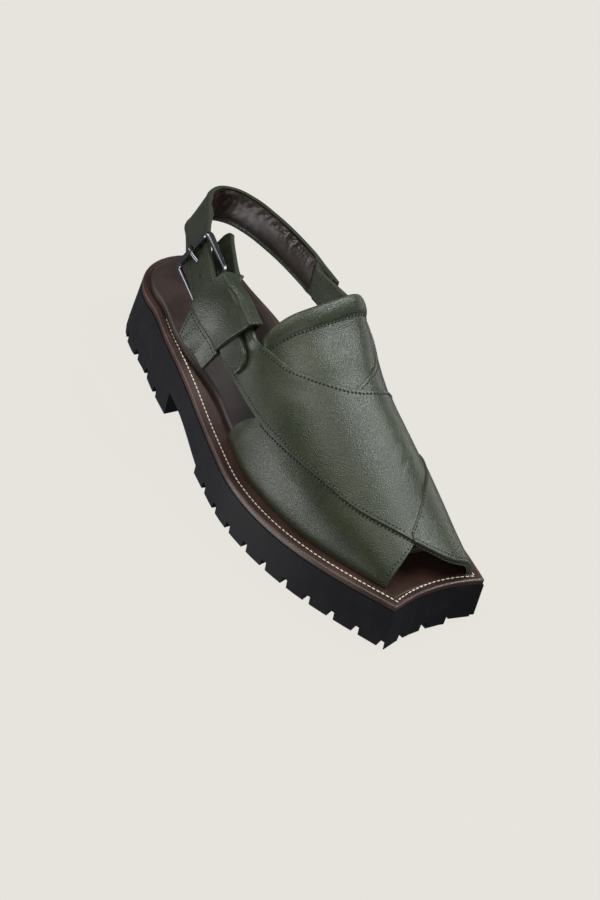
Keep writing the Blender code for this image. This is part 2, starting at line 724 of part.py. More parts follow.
def on_strap(length, across, out):
    """A point by its distance along the strap, across it upwards, and out of its face."""
    station = station_at(length)
    centre, lean = strap_point(station)
    ahead = (strap_point(min(station + 0.004, 1.0))[0]
             - strap_point(max(station - 0.004, 0.0))[0]).normalized()
    upright = Vector((0.0, 0.0, 1.0))
    upright = (upright - ahead * upright.dot(ahead)).normalized()
    outward = ahead.cross(upright).normalized()
    top = upright * math.cos(lean) - outward * math.sin(lean)
    face = outward * math.cos(lean) + upright * math.sin(lean)
    return centre + top * across + face * out


BAR_AT = STRAP_LENGTHS[round(BAR_STATION * STRAP_STEPS)]
HINGE_AT = BAR_AT + BUCKLE_LENGTH
HINGE_OUT = -(BILLET / 2 + CLEARANCE + KNUCKLE_WALL + CLEARANCE + WIRE_RADIUS)
BAR_OUT = BILLET / 2 + CLEARANCE + WIRE_RADIUS
EAR_TOP = HINGE_OUT - WIRE_RADIUS - CLEARANCE - PRONG_WIRE - CLEARANCE
KEEPER_AT = HINGE_AT + KEEPER_GAP
EAR_REST = -(BILLET / 2 + CLEARANCE)


def band_ring(length, width, thickness, out, shift=0.0):
    """One section of a strap: a flat rectangle with softened edges."""
    half, soft = width / 2, 0.3 * thickness
    low, high = out - thickness / 2, out + thickness / 2
    corners = ((-half, low + soft), (-half, high - soft), (-half + soft, high), (half - soft, high),
               (half, high - soft), (half, low + soft), (half - soft, low), (-half + soft, low))
    return [on_strap(length, across + shift, face) for across, face in corners]


def strap_thickness(length):
    """The strap is padded round the heel and thin where it passes the buckle."""
    padding = ease(length, 0.05 * STRAP_LENGTH, 0.11 * STRAP_LENGTH)
    padding -= ease(length, 0.50 * STRAP_LENGTH, 0.60 * STRAP_LENGTH)
    return BILLET + (PADDED_STRAP - BILLET) * padding


def end_width(from_end, width):
    """A strap's width near its rounded end."""
    reach = min(from_end / (width / 2), 1.0)
    return width * max(math.sqrt(1 - (1 - reach) ** 2), 0.25)


def strap_width(length):
    """The strap is wide round the heel and narrow where it passes the buckle."""
    narrow = ease(length, 0.42 * STRAP_LENGTH, 0.62 * STRAP_LENGTH)
    return STRAP_WIDTH + (BILLET_WIDTH - STRAP_WIDTH) * narrow


def strap_cut(at, length, width):
    """A cutter for a slot through the strap."""
    def place(s, t, w):
        return on_strap(at + length * (s - 0.5), width * (t - 0.5), (w - 0.5) * 4 * BILLET)
    return block(1, 1, place)


def build_heel_strap():
    rings = []
    count, end_count = 44, 6
    straight = STRAP_LENGTH - BILLET_WIDTH / 2
    for k in range(count + 1):
        if k <= count - end_count:
            length = straight * k / (count - end_count)
        else:
            turn = math.pi / 2 * (k - count + end_count) / end_count
            length = straight + BILLET_WIDTH / 2 * math.sin(turn)
        width = end_width(STRAP_LENGTH - length, strap_width(length))
        rings.append(band_ring(length, width, strap_thickness(length), 0.0))
    strap = to_object(loft(rings), "heel_strap", material("strap_leather", (0.034, 0.042, 0.026), 0.40))
    holes = [strap_cut(HINGE_AT - 0.70 * BUCKLE_LENGTH, PRONG_SLOT_LENGTH, PRONG_SLOT_WIDTH),
             strap_cut(HINGE_AT - 0.22 * BUCKLE_LENGTH, PRONG_WIRE, PRONG_WIRE)]
    combine(strap, gather(holes, "strap_holes"), "DIFFERENCE")


def ear_out(length):
    """How deep the ear's outer face lies under the strap's middle."""
    rise = ease(length, HINGE_AT + 0.62 * KEEPER_GAP, HINGE_AT + 0.46 * KEEPER_LENGTH)
    return EAR_TOP + (EAR_REST - EAR_TOP) * rise


def build_ear():
    """The lateral band's end, which runs back under the buckle and carries it; its tail shows
    beside the buckle. Its front sinks into the band beyond the keeper."""
    rings = []
    start, sleeve_end = BAR_AT - EAR_TAIL, KEEPER_AT + KEEPER_LENGTH
    end = sleeve_end + 0.55 * KEEPER_LENGTH
    count = 26
    for k in range(count + 1):
        length = start + (end - start) * (k / count) ** 1.1
        spread = ease(length, BAR_AT, HINGE_AT - KEEPER_GAP)
        width = end_width(length - start + CLEARANCE,
                          EAR_TAIL_WIDTH + (EAR_WIDTH - EAR_TAIL_WIDTH) * spread)
        shift = EAR_TAIL_SHIFT + (EAR_SHIFT - EAR_TAIL_SHIFT) * spread
        ring = band_ring(length, width, EAR_THICKNESS, ear_out(length) - EAR_THICKNESS / 2, shift)
        sink = ease(length, sleeve_end + 2 * KEEPER_SLANT, end - 0.06 * KEEPER_LENGTH)
        for n, point in enumerate(ring):
            girth = lateral_girth(point.x, point.z)
            facing = n in (1, 2, 3, 4)
            lift = BAND_FACE - 3 * CLEARANCE if facing else BAND_UNDERSIDE + 2 * CLEARANCE
            under = last_point(point.x, girth) + last_normal(point.x, girth) * lift
            ring[n] = point.lerp(under, sink)
        rings.append(ring)
    return loft(rings)


def hinge_axes():
    """The buckle's own frame: the middle of its hinge bar, the ways to the outer bar and along
    the hinge bar, and the way out of its face."""
    middle = on_strap(HINGE_AT, 0.0, HINGE_OUT)
    back = (on_strap(BAR_AT, 0.0, BAR_OUT) - middle).normalized()
    aside = (on_strap(HINGE_AT, 1.0, 0.0) - on_strap(HINGE_AT, 0.0, 0.0)
             + on_strap(BAR_AT, 1.0, 0.0) - on_strap(BAR_AT, 0.0, 0.0))
    aside = (aside - back * aside.dot(back)).normalized()
    return middle, back, aside, aside.cross(back)


def build_knuckle(side):
    """A fold of the ear round the hinge bar, on each side of the prong."""
    middle, back, aside, face = hinge_axes()
    inner = WIRE_RADIUS + CLEARANCE
    outer = inner + KNUCKLE_WALL
    near = PRONG_RADIUS + 3 * CLEARANCE
    far = BUCKLE_HALF - BUCKLE_CORNER - CLEARANCE
    rings = []
    for k in range(14):
        angle = 2 * math.pi * k / 14
        way = back * math.cos(angle) + face * math.sin(angle)
        corners = ((inner, near), (inner, far), (outer, far), (outer, near))
        ring = [middle + way * radius + aside * side * across for radius, across in corners]
        rings.append(ring[:2] + [point - face * 2 * CLEARANCE for point in ring[2:]])
    return loft(rings, closed=True)


def wire(route, radius, sides, closed=False):
    """A round wire along a route of points."""
    rings = []
    count = len(route)
    for k, point in enumerate(route):
        if closed:
            ahead = (route[(k + 1) % count] - route[k - 1]).normalized()
        else:
            ahead = (route[min(k + 1, count - 1)] - route[max(k - 1, 0)]).normalized()
        side = side - ahead * side.dot(ahead) if rings else ahead.orthogonal()
        side.normalize()
        other = ahead.cross(side)
        size = radius(k / (count - 1)) if callable(radius) else radius
        rings.append([point + (side * math.cos(a) + other * math.sin(a)) * size
                      for a in (2 * math.pi * n / sides for n in range(sides))])
    return loft(rings, closed)


def build_buckle():
    """The frame: an outer bar over the strap, two rails beside it and the hinge bar under it."""
    middle, back, aside, face = hinge_axes()
    reach = (on_strap(BAR_AT, 0.0, BAR_OUT) - middle).length
    route = []
    turns = ((reach - BUCKLE_CORNER, 1, 0), (BUCKLE_CORNER, 1, 90),
             (BUCKLE_CORNER, -1, 180), (reach - BUCKLE_CORNER, -1, 270))
    for along, side, start in turns:
        for k in range(4):
            angle = math.radians(start + 30 * k)
            across = side * (BUCKLE_HALF - BUCKLE_CORNER) + BUCKLE_CORNER * math.sin(angle)
            route.append(middle + back * (along + BUCKLE_CORNER * math.cos(angle)) + aside * across)
    steel = material("dark_steel", (0.09, 0.09, 0.10), 0.22, 1.0)
    to_object(wire(route, WIRE_RADIUS, 8, closed=True), "buckle_frame", steel)


def build_prong():
    """The prong hooks round the hinge bar, comes up through the strap and lies on the bar."""
    middle, back, aside, face = hinge_axes()
    hook = WIRE_RADIUS + CLEARANCE + PRONG_RADIUS
    route = []
    for k in range(10):
        angle = math.radians(70 - 30 * k)
        route.append(middle - back * hook * math.cos(angle) + face * hook * math.sin(angle))
    tip_out = BAR_OUT + WIRE_RADIUS + CLEARANCE + PRONG_RADIUS
    under = -BILLET / 2 - CLEARANCE - PRONG_RADIUS
    rise = ((0.30, 1.25 * under), (0.50, under), (0.62, 0.35 * under), (0.74, 0.42 * tip_out),
            (0.85, 0.82 * tip_out), (0.95, tip_out), (1.07, tip_out))
    for share, out in rise:
        route.append(on_strap(HINGE_AT - BUCKLE_LENGTH * share, 0.0, out))
    steel = material("dark_steel_prong", (0.10, 0.10, 0.11), 0.20, 1.0)
    to_object(wire(route, PRONG_RADIUS, 6), "buckle_prong", steel)


def sleeve_ring(length, bottom, top, low, high, corner, slant):
    """One section of the sleeve, a rectangle with rounded corners, slanted to the strap."""
    ring = []
    for across, out, start in ((top - corner, high - corner, 0), (bottom + corner, high - corner, 90),
                               (bottom + corner, low + corner, 180), (top - corner, low + corner, 270)):
        for k in range(3):
            angle = math.radians(start + 45 * k)
            place = across + corner * math.cos(angle)
            forward = slant * place / EAR_WIDTH
            ring.append(on_strap(length + forward, place, out + corner * math.sin(angle)))
    return ring


def build_keeper():
    """A wide sleeve round the ear and the strap's end, with a sewn flange along its lower edge."""
    bottom = EAR_SHIFT - EAR_WIDTH / 2 - 2 * CLEARANCE
    rings_out, rings_in = [], []
    count = 11
    for k in range(count + 1):
        length = KEEPER_AT + KEEPER_LENGTH * k / count
        top = EAR_SHIFT + EAR_WIDTH / 2 + 2 * CLEARANCE + KEEPER_SPREAD * k / count
        slant = KEEPER_SLANT * k / count
        high = BILLET / 2 + 2 * CLEARANCE
        low = ear_out(length) - EAR_THICKNESS - 4 * CLEARANCE
        rings_in.append(sleeve_ring(length, bottom, top, low, high, 0.4 * BILLET, slant))
        rings_out.append(sleeve_ring(length, bottom - KEEPER_WALL, top + KEEPER_WALL, low - KEEPER_WALL,
                                     high + KEEPER_WALL, 0.4 * BILLET + KEEPER_WALL, slant))
    bm = bmesh.new()
    outer = [[bm.verts.new(p) for p in ring] for ring in rings_out]
    inner = [[bm.verts.new(p) for p in ring] for ring in rings_in]
    sides = len(outer[0])
    for loops in (outer, inner):
        for one, two in zip(loops, loops[1:]):
            for n in range(sides):
                bm.faces.new((one[n], one[(n + 1) % sides], two[(n + 1) % sides], two[n]))
    for end in (0, count):
        for n in range(sides):
            m = (n + 1) % sides
            bm.faces.new((outer[end][n], outer[end][m], inner[end][m], inner[end][n]))
    bmesh.ops.triangulate(bm, faces=bm.faces)
    keeper = to_object(bm, "strap_keeper", material("keeper_leather", (0.032, 0.040, 0.024), 0.38))

    def flange_place(s, t, w):
        length = KEEPER_AT + CLEARANCE + (KEEPER_LENGTH - 2 * CLEARANCE) * (s + 0.22 * t * (1 - s))
        across = bottom - 0.6 * KEEPER_WALL - KEEPER_FLANGE * t
        return on_strap(length, across, BILLET / 4 + FLANGE_THICKNESS * (w - 0.5) * (1 - 0.3 * t))
    combine(keeper, to_object(block(6, 2, flange_place), "keeper_flange"), "UNION")


build_outsole()
build_welt()
build_insole()
build_upper()
build_heel_strap()
build_keeper()
build_buckle()
build_prong()
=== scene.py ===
"""The chappal's looks: smooth leather panels over the same last, with their stitches, lining,
footbed and buckle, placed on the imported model. Lengths are in metres. While pieces are made,
x runs forward from the back of the heel, y to the medial side and z up; TO_ORIGIN moves them
to the model's frame. The sizes and tables are those of the solids.
"""
import math

import bmesh
import bpy
from mathutils import Matrix, Vector, noise


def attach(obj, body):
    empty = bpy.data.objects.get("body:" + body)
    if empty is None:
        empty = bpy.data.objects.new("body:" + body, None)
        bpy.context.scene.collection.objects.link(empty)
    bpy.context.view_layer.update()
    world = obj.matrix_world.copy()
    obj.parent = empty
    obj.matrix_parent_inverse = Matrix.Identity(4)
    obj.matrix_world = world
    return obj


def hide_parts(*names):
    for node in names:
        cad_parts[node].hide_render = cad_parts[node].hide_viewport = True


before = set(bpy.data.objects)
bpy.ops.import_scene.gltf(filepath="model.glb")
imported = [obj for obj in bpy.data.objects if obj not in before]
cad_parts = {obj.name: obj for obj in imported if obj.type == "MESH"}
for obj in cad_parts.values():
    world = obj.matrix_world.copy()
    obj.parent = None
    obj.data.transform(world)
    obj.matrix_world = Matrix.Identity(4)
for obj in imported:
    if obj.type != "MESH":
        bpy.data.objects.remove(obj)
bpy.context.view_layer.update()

# Driving sizes, in metres

SOLE_LENGTH = 0.3028
BALL_WIDTH = 0.1024
HEEL_WIDTH = 0.0692
TOE_WIDTH = 0.0606
HEEL_HEIGHT = 0.0385
FOREFOOT_HEIGHT = 0.0250
INSTEP_RISE = 0.0843
CLEARANCE = 0.0003

# The sole's plan
HEEL_ROUND = 0.0430
HEEL_RAKE = 0.0080
HEEL_CORNER = math.radians(45)
HEEL_BOW_REACH = 0.16
TOE_SLANT = 0.0035
TOE_BOW = 0.0050
TOE_BOW_REACH = 0.16

# The outsole
TOE_SPRING = 0.0020

# The welt and the footbed
WELT_THICKNESS = 0.0040
WELT_INSET = 0.0006
WELT_ROUND = 0.0012
INSOLE_THICKNESS = 0.0050
INSOLE_ROUND = 0.0030
INSOLE_HEEL_INSET = 0.0048
INSOLE_FRONT = 0.2850

# The upper
LATERAL_FEATHER = 0.0128
MEDIAL_FEATHER = 0.0102
WAIST_SPREAD = 0.0045
LEATHER = 0.0022
LAYER_STEP = 0.0005
COLLAR_PUFF = 0.0030
COLLAR_ROLL = 0.0095

# The heel strap, its buckle and its keeper
STRAP_WIDTH = 0.0248
BILLET_WIDTH = 0.0200
STRAP_HEIGHT = 0.0900
PADDED_STRAP = 0.0045
BILLET = 0.0026
EAR_WIDTH = 0.0285
EAR_SHIFT = 0.0042
EAR_THICKNESS = 0.0022
EAR_TAIL = 0.0140
EAR_TAIL_WIDTH = 0.0200
EAR_TAIL_SHIFT = 0.0085
KNUCKLE_WALL = 0.0020
BUCKLE_WIRE = 0.0032
BUCKLE_LENGTH = 0.0280
BUCKLE_SIDE_GAP = 0.0028
PRONG_WIRE = 0.0020
PRONG_SLOT_WIDTH = 0.0032
PRONG_SLOT_LENGTH = 0.0105
KEEPER_GAP = 0.0068
KEEPER_LENGTH = 0.0337
KEEPER_SPREAD = 0.0050
KEEPER_SLANT = 0.0035
KEEPER_WALL = 0.0016
KEEPER_FLANGE = 0.0180
FLANGE_THICKNESS = 0.0030

# What follows from them
SOLE_RISE = HEEL_HEIGHT - FOREFOOT_HEIGHT
WIRE_RADIUS = BUCKLE_WIRE / 2
PRONG_RADIUS = PRONG_WIRE / 2
BUCKLE_CORNER = BUCKLE_WIRE
BUCKLE_HALF = BILLET_WIDTH / 2 + BUCKLE_SIDE_GAP + WIRE_RADIUS


# Tables

# station along the sole, lateral and medial half width as shares of a width, and that width
SOLE_EDGE = tuple((station, lateral * width, medial * width) for station, lateral, medial, width in (
    (HEEL_ROUND / SOLE_LENGTH, 0.500, 0.462, HEEL_WIDTH),
    (0.248, 0.578, 0.503, HEEL_WIDTH),
    (0.380, 0.443, 0.361, BALL_WIDTH),
    (0.495, 0.499, 0.405, BALL_WIDTH),
    (0.611, 0.540, 0.449, BALL_WIDTH),
    (0.710, 0.512, 0.474, BALL_WIDTH),
    (0.809, 0.435, 0.474, BALL_WIDTH),
    (0.908, 0.313, 0.452, BALL_WIDTH),
    (1.000, 0.307, 0.693, TOE_WIDTH),
))

# station along the sole, height of the rubber's top edge
RUBBER_TOP = (
    (0.000, HEEL_HEIGHT),
    (0.198, HEEL_HEIGHT),
    (0.314, FOREFOOT_HEIGHT + 0.815 * SOLE_RISE),
    (0.430, FOREFOOT_HEIGHT + 0.415 * SOLE_RISE),
    (0.545, FOREFOOT_HEIGHT + 0.135 * SOLE_RISE),
    (0.677, FOREFOOT_HEIGHT),
    (0.826, FOREFOOT_HEIGHT + 0.60 * TOE_SPRING),
    (1.000, FOREFOOT_HEIGHT + 2.50 * TOE_SPRING),
)

# station along the sole, crest's distance to the medial side as a share of BALL_WIDTH, its
# height over the welt as a share of INSTEP_RISE, and the roundness of the lateral half and of
# the medial half of the section
LAST_CREST = tuple((station, aside * BALL_WIDTH, rise * INSTEP_RISE, lateral, medial)
                   for station, aside, rise, lateral, medial in (
    (0.200, 0.070, 1.155, 2.2, 3.0),
    (0.297, 0.070, 1.170, 2.4, 3.2),
    (0.396, 0.100, 1.116, 2.5, 3.8),
    (0.482, 0.135, 1.000, 2.5, 4.6),
    (0.515, 0.130, 0.905, 2.5, 4.2),
    (0.561, 0.112, 0.822, 2.45, 3.3),
    (0.627, 0.092, 0.752, 2.4, 2.5),
    (0.710, 0.090, 0.620, 2.35, 2.35),
    (0.809, 0.103, 0.430, 2.3, 2.3),
    (0.892, 0.117, 0.262, 2.3, 2.2),
    (0.964, 0.132, 0.120, 2.3, 2.2),
))

# Each leather panel is a row of ribs: station and girth share where the rib starts, the same
# where it ends, and for a wing how far its middle bows forward, as a share of the length. Girth
# shares run over the last from the lateral foot line, 0, to the medial foot line, 1.
TONGUE_RIBS = (
    (0.474, 0.300, 0.506, 0.262),
    (0.476, 0.340, 0.541, 0.304),
    (0.479, 0.390, 0.591, 0.345),
    (0.484, 0.455, 0.637, 0.410),
    (0.484, 0.510, 0.664, 0.480),
    (0.481, 0.560, 0.674, 0.545),
    (0.477, 0.610, 0.667, 0.620),
    (0.470, 0.660, 0.642, 0.690),
    (0.460, 0.720, 0.600, 0.760),
)
LATERAL_BAND_RIBS = (
    (0.440, 0.146, 0.484, 0.296),
    (0.462, 0.151, 0.487, 0.298),
    (0.486, 0.159, 0.491, 0.303),
    (0.528, 0.174, 0.510, 0.321),
    (0.594, 0.194, 0.545, 0.350),
    (0.670, 0.223, 0.575, 0.386),
    (0.743, 0.248, 0.604, 0.429),
    (0.819, 0.279, 0.627, 0.479),
    (0.868, 0.340, 0.641, 0.529),
    (0.908, 0.429, 0.647, 0.593),
    (0.931, 0.521, 0.641, 0.650),
    (0.948, 0.621, 0.627, 0.710),
    (0.958, 0.743, 0.604, 0.790),
    (0.961, 0.870, 0.565, 0.890),
    (0.961, 1.000, 0.528, 1.000),
)
MEDIAL_BAND_RIBS = (
    (0.345, 0.798, 0.345, 0.718),
    (0.375, 0.803, 0.375, 0.706),
    (0.412, 0.818, 0.412, 0.692),
    (0.470, 0.836, 0.470, 0.672),
    (0.530, 0.830, 0.520, 0.655),
    (0.590, 0.805, 0.560, 0.650),
    (0.640, 0.765, 0.590, 0.630),
    (0.668, 0.700, 0.614, 0.593),
    (0.680, 0.630, 0.631, 0.550),
    (0.686, 0.560, 0.641, 0.510),
    (0.690, 0.500, 0.645, 0.470),
)
LATERAL_WING_RIBS = (
    (0.502, 0.000, 0.594, 0.235, -0.012),
    (0.560, 0.000, 0.630, 0.245, -0.004),
    (0.627, 0.000, 0.677, 0.262, 0.0),
    (0.700, 0.000, 0.733, 0.287, 0.0),
    (0.766, 0.000, 0.786, 0.307, 0.0),
    (0.832, 0.000, 0.839, 0.340, 0.0),
    (0.892, 0.000, 0.888, 0.415, 0.0),
    (0.944, 0.000, 0.911, 0.445, 0.009),
)
MEDIAL_WING_RIBS = (
    (0.680, 1.000, 0.961, 1.000),
    (0.703, 0.870, 0.962, 0.860),
    (0.740, 0.765, 0.960, 0.740),
    (0.783, 0.715, 0.954, 0.660),
    (0.822, 0.655, 0.944, 0.580),
    (0.855, 0.585, 0.932, 0.515),
    (0.878, 0.515, 0.921, 0.465),
    (0.894, 0.450, 0.911, 0.428),
)

# The heel strap's centre line, from the medial band round the heel to its free end: station
# along the strap, distance forward as a share of SOLE_LENGTH, distance to the medial side as a
# share of a width, that width, height as a share of STRAP_HEIGHT, and how far the strap's top
# leans to the medial side, in degrees
STRAP_LINE = tuple((station, forward * SOLE_LENGTH, aside * width, height * STRAP_HEIGHT, lean)
                   for station, forward, aside, width, height, lean in (
    (0.000, 0.386, 0.361, BALL_WIDTH, 0.990, 1.0),
    (0.045, 0.345, 0.360, BALL_WIDTH, 0.990, 0.0),
    (0.110, 0.287, 0.355, BALL_WIDTH, 0.988, 0.0),
    (0.250, 0.172, 0.486, HEEL_WIDTH, 0.970, 0.0),
    (0.322, 0.112, 0.428, HEEL_WIDTH, 0.960, 0.0),
    (0.377, 0.071, 0.335, HEEL_WIDTH, 0.953, 2.0),
    (0.409, 0.056, 0.240, HEEL_WIDTH, 0.951, 5.0),
    (0.443, 0.060, 0.118, HEEL_WIDTH, 0.962, 12.0),
    (0.493, 0.087, -0.022, HEEL_WIDTH, 0.985, 24.0),
    (0.550, 0.128, -0.132, HEEL_WIDTH, 1.014, 29.0),
    (0.602, 0.166, -0.240, HEEL_WIDTH, 1.036, 29.0),
    (0.666, 0.213, -0.358, HEEL_WIDTH, 1.050, 26.0),
    (0.725, 0.259, -0.302, BALL_WIDTH, 1.049, 25.0),
    (0.793, 0.314, -0.359, BALL_WIDTH, 1.033, 24.0),
    (0.841, 0.353, -0.365, BALL_WIDTH, 0.998, 18.0),
    (0.889, 0.391, -0.353, BALL_WIDTH, 0.951, 14.0),
    (0.934, 0.428, -0.358, BALL_WIDTH, 0.907, 13.0),
    (1.000, 0.481, -0.381, BALL_WIDTH, 0.844, 13.0),
))
BAR_STATION = 0.666


# Reading the tables

def row_slope(rows, k, column):
    """The slope of a table's column at row k, for a smooth curve through uneven stations."""
    if k == 0:
        return 0.0
    if k == len(rows) - 1:
        return (rows[k][column] - rows[k - 1][column]) / (rows[k][0] - rows[k - 1][0])
    before, here, after = rows[k - 1], rows[k], rows[k + 1]
    slope_before = (here[column] - before[column]) / (here[0] - before[0])
    slope_after = (after[column] - here[column]) / (after[0] - here[0])
    weight = (here[0] - before[0]) / (after[0] - before[0])
    return slope_after * weight + slope_before * (1 - weight)


def read_table(rows, station):
    """All the columns of a table at a station, on a cubic curve through its rows."""
    if station <= rows[0][0]:
        return list(rows[0][1:])
    if station >= rows[-1][0]:
        return list(rows[-1][1:])
    k = max(i for i in range(len(rows) - 1) if rows[i][0] <= station)
    span = rows[k + 1][0] - rows[k][0]
    t = (station - rows[k][0]) / span
    values = []
    for column in range(1, len(rows[0])):
        start, end = rows[k][column], rows[k + 1][column]
        leave = row_slope(rows, k, column) * span
        arrive = row_slope(rows, k + 1, column) * span
        values.append((2 * t**3 - 3 * t**2 + 1) * start + (t**3 - 2 * t**2 + t) * leave
                      + (3 * t**2 - 2 * t**3) * end + (t**3 - t**2) * arrive)
    return values


def read_ribs(ribs, share):
    """A panel's rib at a share of the way along the panel."""
    last = len(ribs) - 1
    rows = [(k / last,) + rib for k, rib in enumerate(ribs)]
    return read_table(rows, share)


def mix(one, two, share):
    return one + (two - one) * share


def ease(value, start, end):
    """0 before start, 1 after end, and a smooth rise between."""
    t = min(max((value - start) / (end - start), 0.0), 1.0)
    return t * t * (3 - 2 * t)


# Shapes that pieces share

def half_widths(x):
    """Lateral and medial half width of the sole at a distance from the back of the heel."""
    lateral, medial = read_table(SOLE_EDGE, x / SOLE_LENGTH)
    if x < HEEL_ROUND:
        share = math.sqrt(max(0.0, 1 - ((HEEL_ROUND - x) / HEEL_ROUND) ** 2))
        return lateral * share, medial * share
    return lateral, medial


def rubber_top(x):
    return read_table(RUBBER_TOP, x / SOLE_LENGTH)[0]


def welt_top(x):
    return rubber_top(x) + WELT_THICKNESS


def side_point(x, side, inset, back=0.0):
    """The edge of the sole's plan on its lateral (0) or medial (1) side, moved in by inset.
    The plan's back lies forward of the heel's back at the ground by back."""
    if x < HEEL_ROUND:
        full = half_widths(HEEL_ROUND)[side] - inset
        depth = HEEL_ROUND - back - inset
        width = full * math.sqrt(max(0.0, 1 - ((HEEL_ROUND - x) / depth) ** 2))
    else:
        step = 0.001
        slope = (half_widths(x + step)[side] - half_widths(x)[side]) / step
        width = half_widths(x)[side] - inset * math.hypot(1, slope)
    return -width if side == 0 else width


def plan_point(u, v, lateral_inset, medial_inset, back=0.0, front=SOLE_LENGTH):
    """A point of the sole's plan: u from the heel to the toe, v from lateral to medial."""
    inset = mix(lateral_inset, medial_inset, v)
    depth = HEEL_ROUND - back - inset
    corner = HEEL_ROUND - depth * math.cos(HEEL_CORNER)
    toe = front - inset
    x_lateral = mix(corner, toe, u)
    x_medial = corner + (toe - TOE_SLANT - corner) * u
    y_lateral = side_point(x_lateral, 0, lateral_inset, back)
    y_medial = side_point(x_medial, 1, medial_inset, back)
    x, y = mix(x_lateral, x_medial, v), mix(y_lateral, y_medial, v)

    angle = (2 * v - 1) * HEEL_CORNER
    half = half_widths(HEEL_ROUND)[1 if v > 0.5 else 0] - inset
    heel_fade = 1 - ease(u, 0.0, HEEL_BOW_REACH)
    x += heel_fade * (HEEL_ROUND - depth * math.cos(angle) - corner)
    y += heel_fade * half * (math.sin(angle) - (2 * v - 1) * math.sin(HEEL_CORNER))

    toe_fade = ease(u, 1 - TOE_BOW_REACH, 1.0)
    x -= toe_fade * TOE_BOW * 4 * v * (1 - v)
    return x, y


SECTION_STEPS = 90
GRID_STEP = 0.001
GIRTH_STEPS = 200
sections = {}
last_rows = {}


def last_section(x):
    """One section over the last: its points, and the share of the girth at each of them."""
    key = round(x, 6)
    if key in sections:
        return sections[key]
    lateral, medial = half_widths(x)
    crest_y, rise, round_lateral, round_medial = read_table(LAST_CREST, x / SOLE_LENGTH)
    foot_z = welt_top(x) + CLEARANCE
    medial_feather = MEDIAL_FEATHER - WAIST_SPREAD * (1 - ease(x, 0.52 * SOLE_LENGTH, 0.68 * SOLE_LENGTH))
    points = []
    for k in range(SECTION_STEPS + 1):
        angle = math.pi * k / SECTION_STEPS
        if math.cos(angle) > 0:
            power, foot = 2 / round_lateral, -(lateral - LATERAL_FEATHER)
        else:
            power, foot = 2 / round_medial, medial - medial_feather
        y = crest_y + (foot - crest_y) * abs(math.cos(angle)) ** power
        z = foot_z + rise * max(math.sin(angle), 0.0) ** power
        points.append((y, z))
    girth = [0.0]
    for one, two in zip(points, points[1:]):
        girth.append(girth[-1] + math.dist(one, two))
    sections[key] = points, [length / girth[-1] for length in girth]
    return sections[key]


def last_row(k):
    """Points of the last at one step of GRID_STEP forward, at even shares of the girth."""
    if k not in last_rows:
        points, shares = last_section(k * GRID_STEP)
        row, at = [], 0
        for n in range(GIRTH_STEPS + 1):
            girth = n / GIRTH_STEPS
            while at < len(points) - 2 and shares[at + 1] < girth:
                at += 1
            t = (girth - shares[at]) / (shares[at + 1] - shares[at])
            (y0, z0), (y1, z1) = points[at], points[at + 1]
            row.append(Vector((k * GRID_STEP, mix(y0, y1, t), mix(z0, z1, t))))
        last_rows[k] = row
    return last_rows[k]


def last_point(x, girth):
    """The point of the last at a distance forward and a share of the girth."""
    k = math.floor(x / GRID_STEP)
    across = min(max(girth, 0.0), 1.0) * GIRTH_STEPS
    n = min(int(across), GIRTH_STEPS - 1)
    near, far = last_row(k), last_row(k + 1)
    t = x / GRID_STEP - k
    return near[n].lerp(near[n + 1], across - n).lerp(far[n].lerp(far[n + 1], across - n), t)


def lateral_girth(x, z):
    """The share of the girth at which the last's lateral side reaches a height."""
    points, shares = last_section(x)
    k = 0
    while k < SECTION_STEPS // 2 - 1 and points[k + 1][1] < z:
        k += 1
    t = (z - points[k][1]) / (points[k + 1][1] - points[k][1])
    return mix(shares[k], shares[k + 1], t)


def last_normal(x, girth):
    """The direction out of the last; at the foot lines it lies level."""
    step_x, step_girth = 0.002, 0.012
    along = last_point(x + step_x, girth) - last_point(x - step_x, girth)
    around = (last_point(x, min(girth + step_girth, 1.0))
              - last_point(x, max(girth - step_girth, 0.0)))
    normal = along.cross(around)
    at_foot = max(1 - girth / step_girth, 1 - (1 - girth) / step_girth, 0.0)
    normal.z *= 1 - min(at_foot, 1.0)
    return normal.normalized()


def sideways_middle():
    """How far the sole's middle lies from the heel's centre line, to the medial side."""
    widths = [half_widths(SOLE_LENGTH * k / 200) for k in range(201)]
    return (max(w[1] for w in widths) - max(w[0] for w in widths)) / 2


TO_ORIGIN = Vector((-SOLE_LENGTH / 2, -sideways_middle(), 0.0))


# The strap's frame: everything at the buckle is placed along the strap, across it and out

STRAP_STEPS = 400


def strap_point(station):
    x, y, z, lean = read_table(STRAP_LINE, station)
    return Vector((x, y, z)), math.radians(lean)


def strap_stations():
    """Stations of the strap by its length, so that distances along it are true."""
    lengths = [0.0]
    for k in range(STRAP_STEPS):
        one = strap_point(k / STRAP_STEPS)[0]
        two = strap_point((k + 1) / STRAP_STEPS)[0]
        lengths.append(lengths[-1] + (two - one).length)
    return lengths


STRAP_LENGTHS = strap_stations()
STRAP_LENGTH = STRAP_LENGTHS[-1]


def station_at(length):
    """The table's station at a distance along the strap."""
    length = min(max(length, 0.0), STRAP_LENGTH)
    k = 0
    while k < STRAP_STEPS - 1 and STRAP_LENGTHS[k + 1] < length:
        k += 1
    share = (length - STRAP_LENGTHS[k]) / (STRAP_LENGTHS[k + 1] - STRAP_LENGTHS[k])
    return (k + share) / STRAP_STEPS


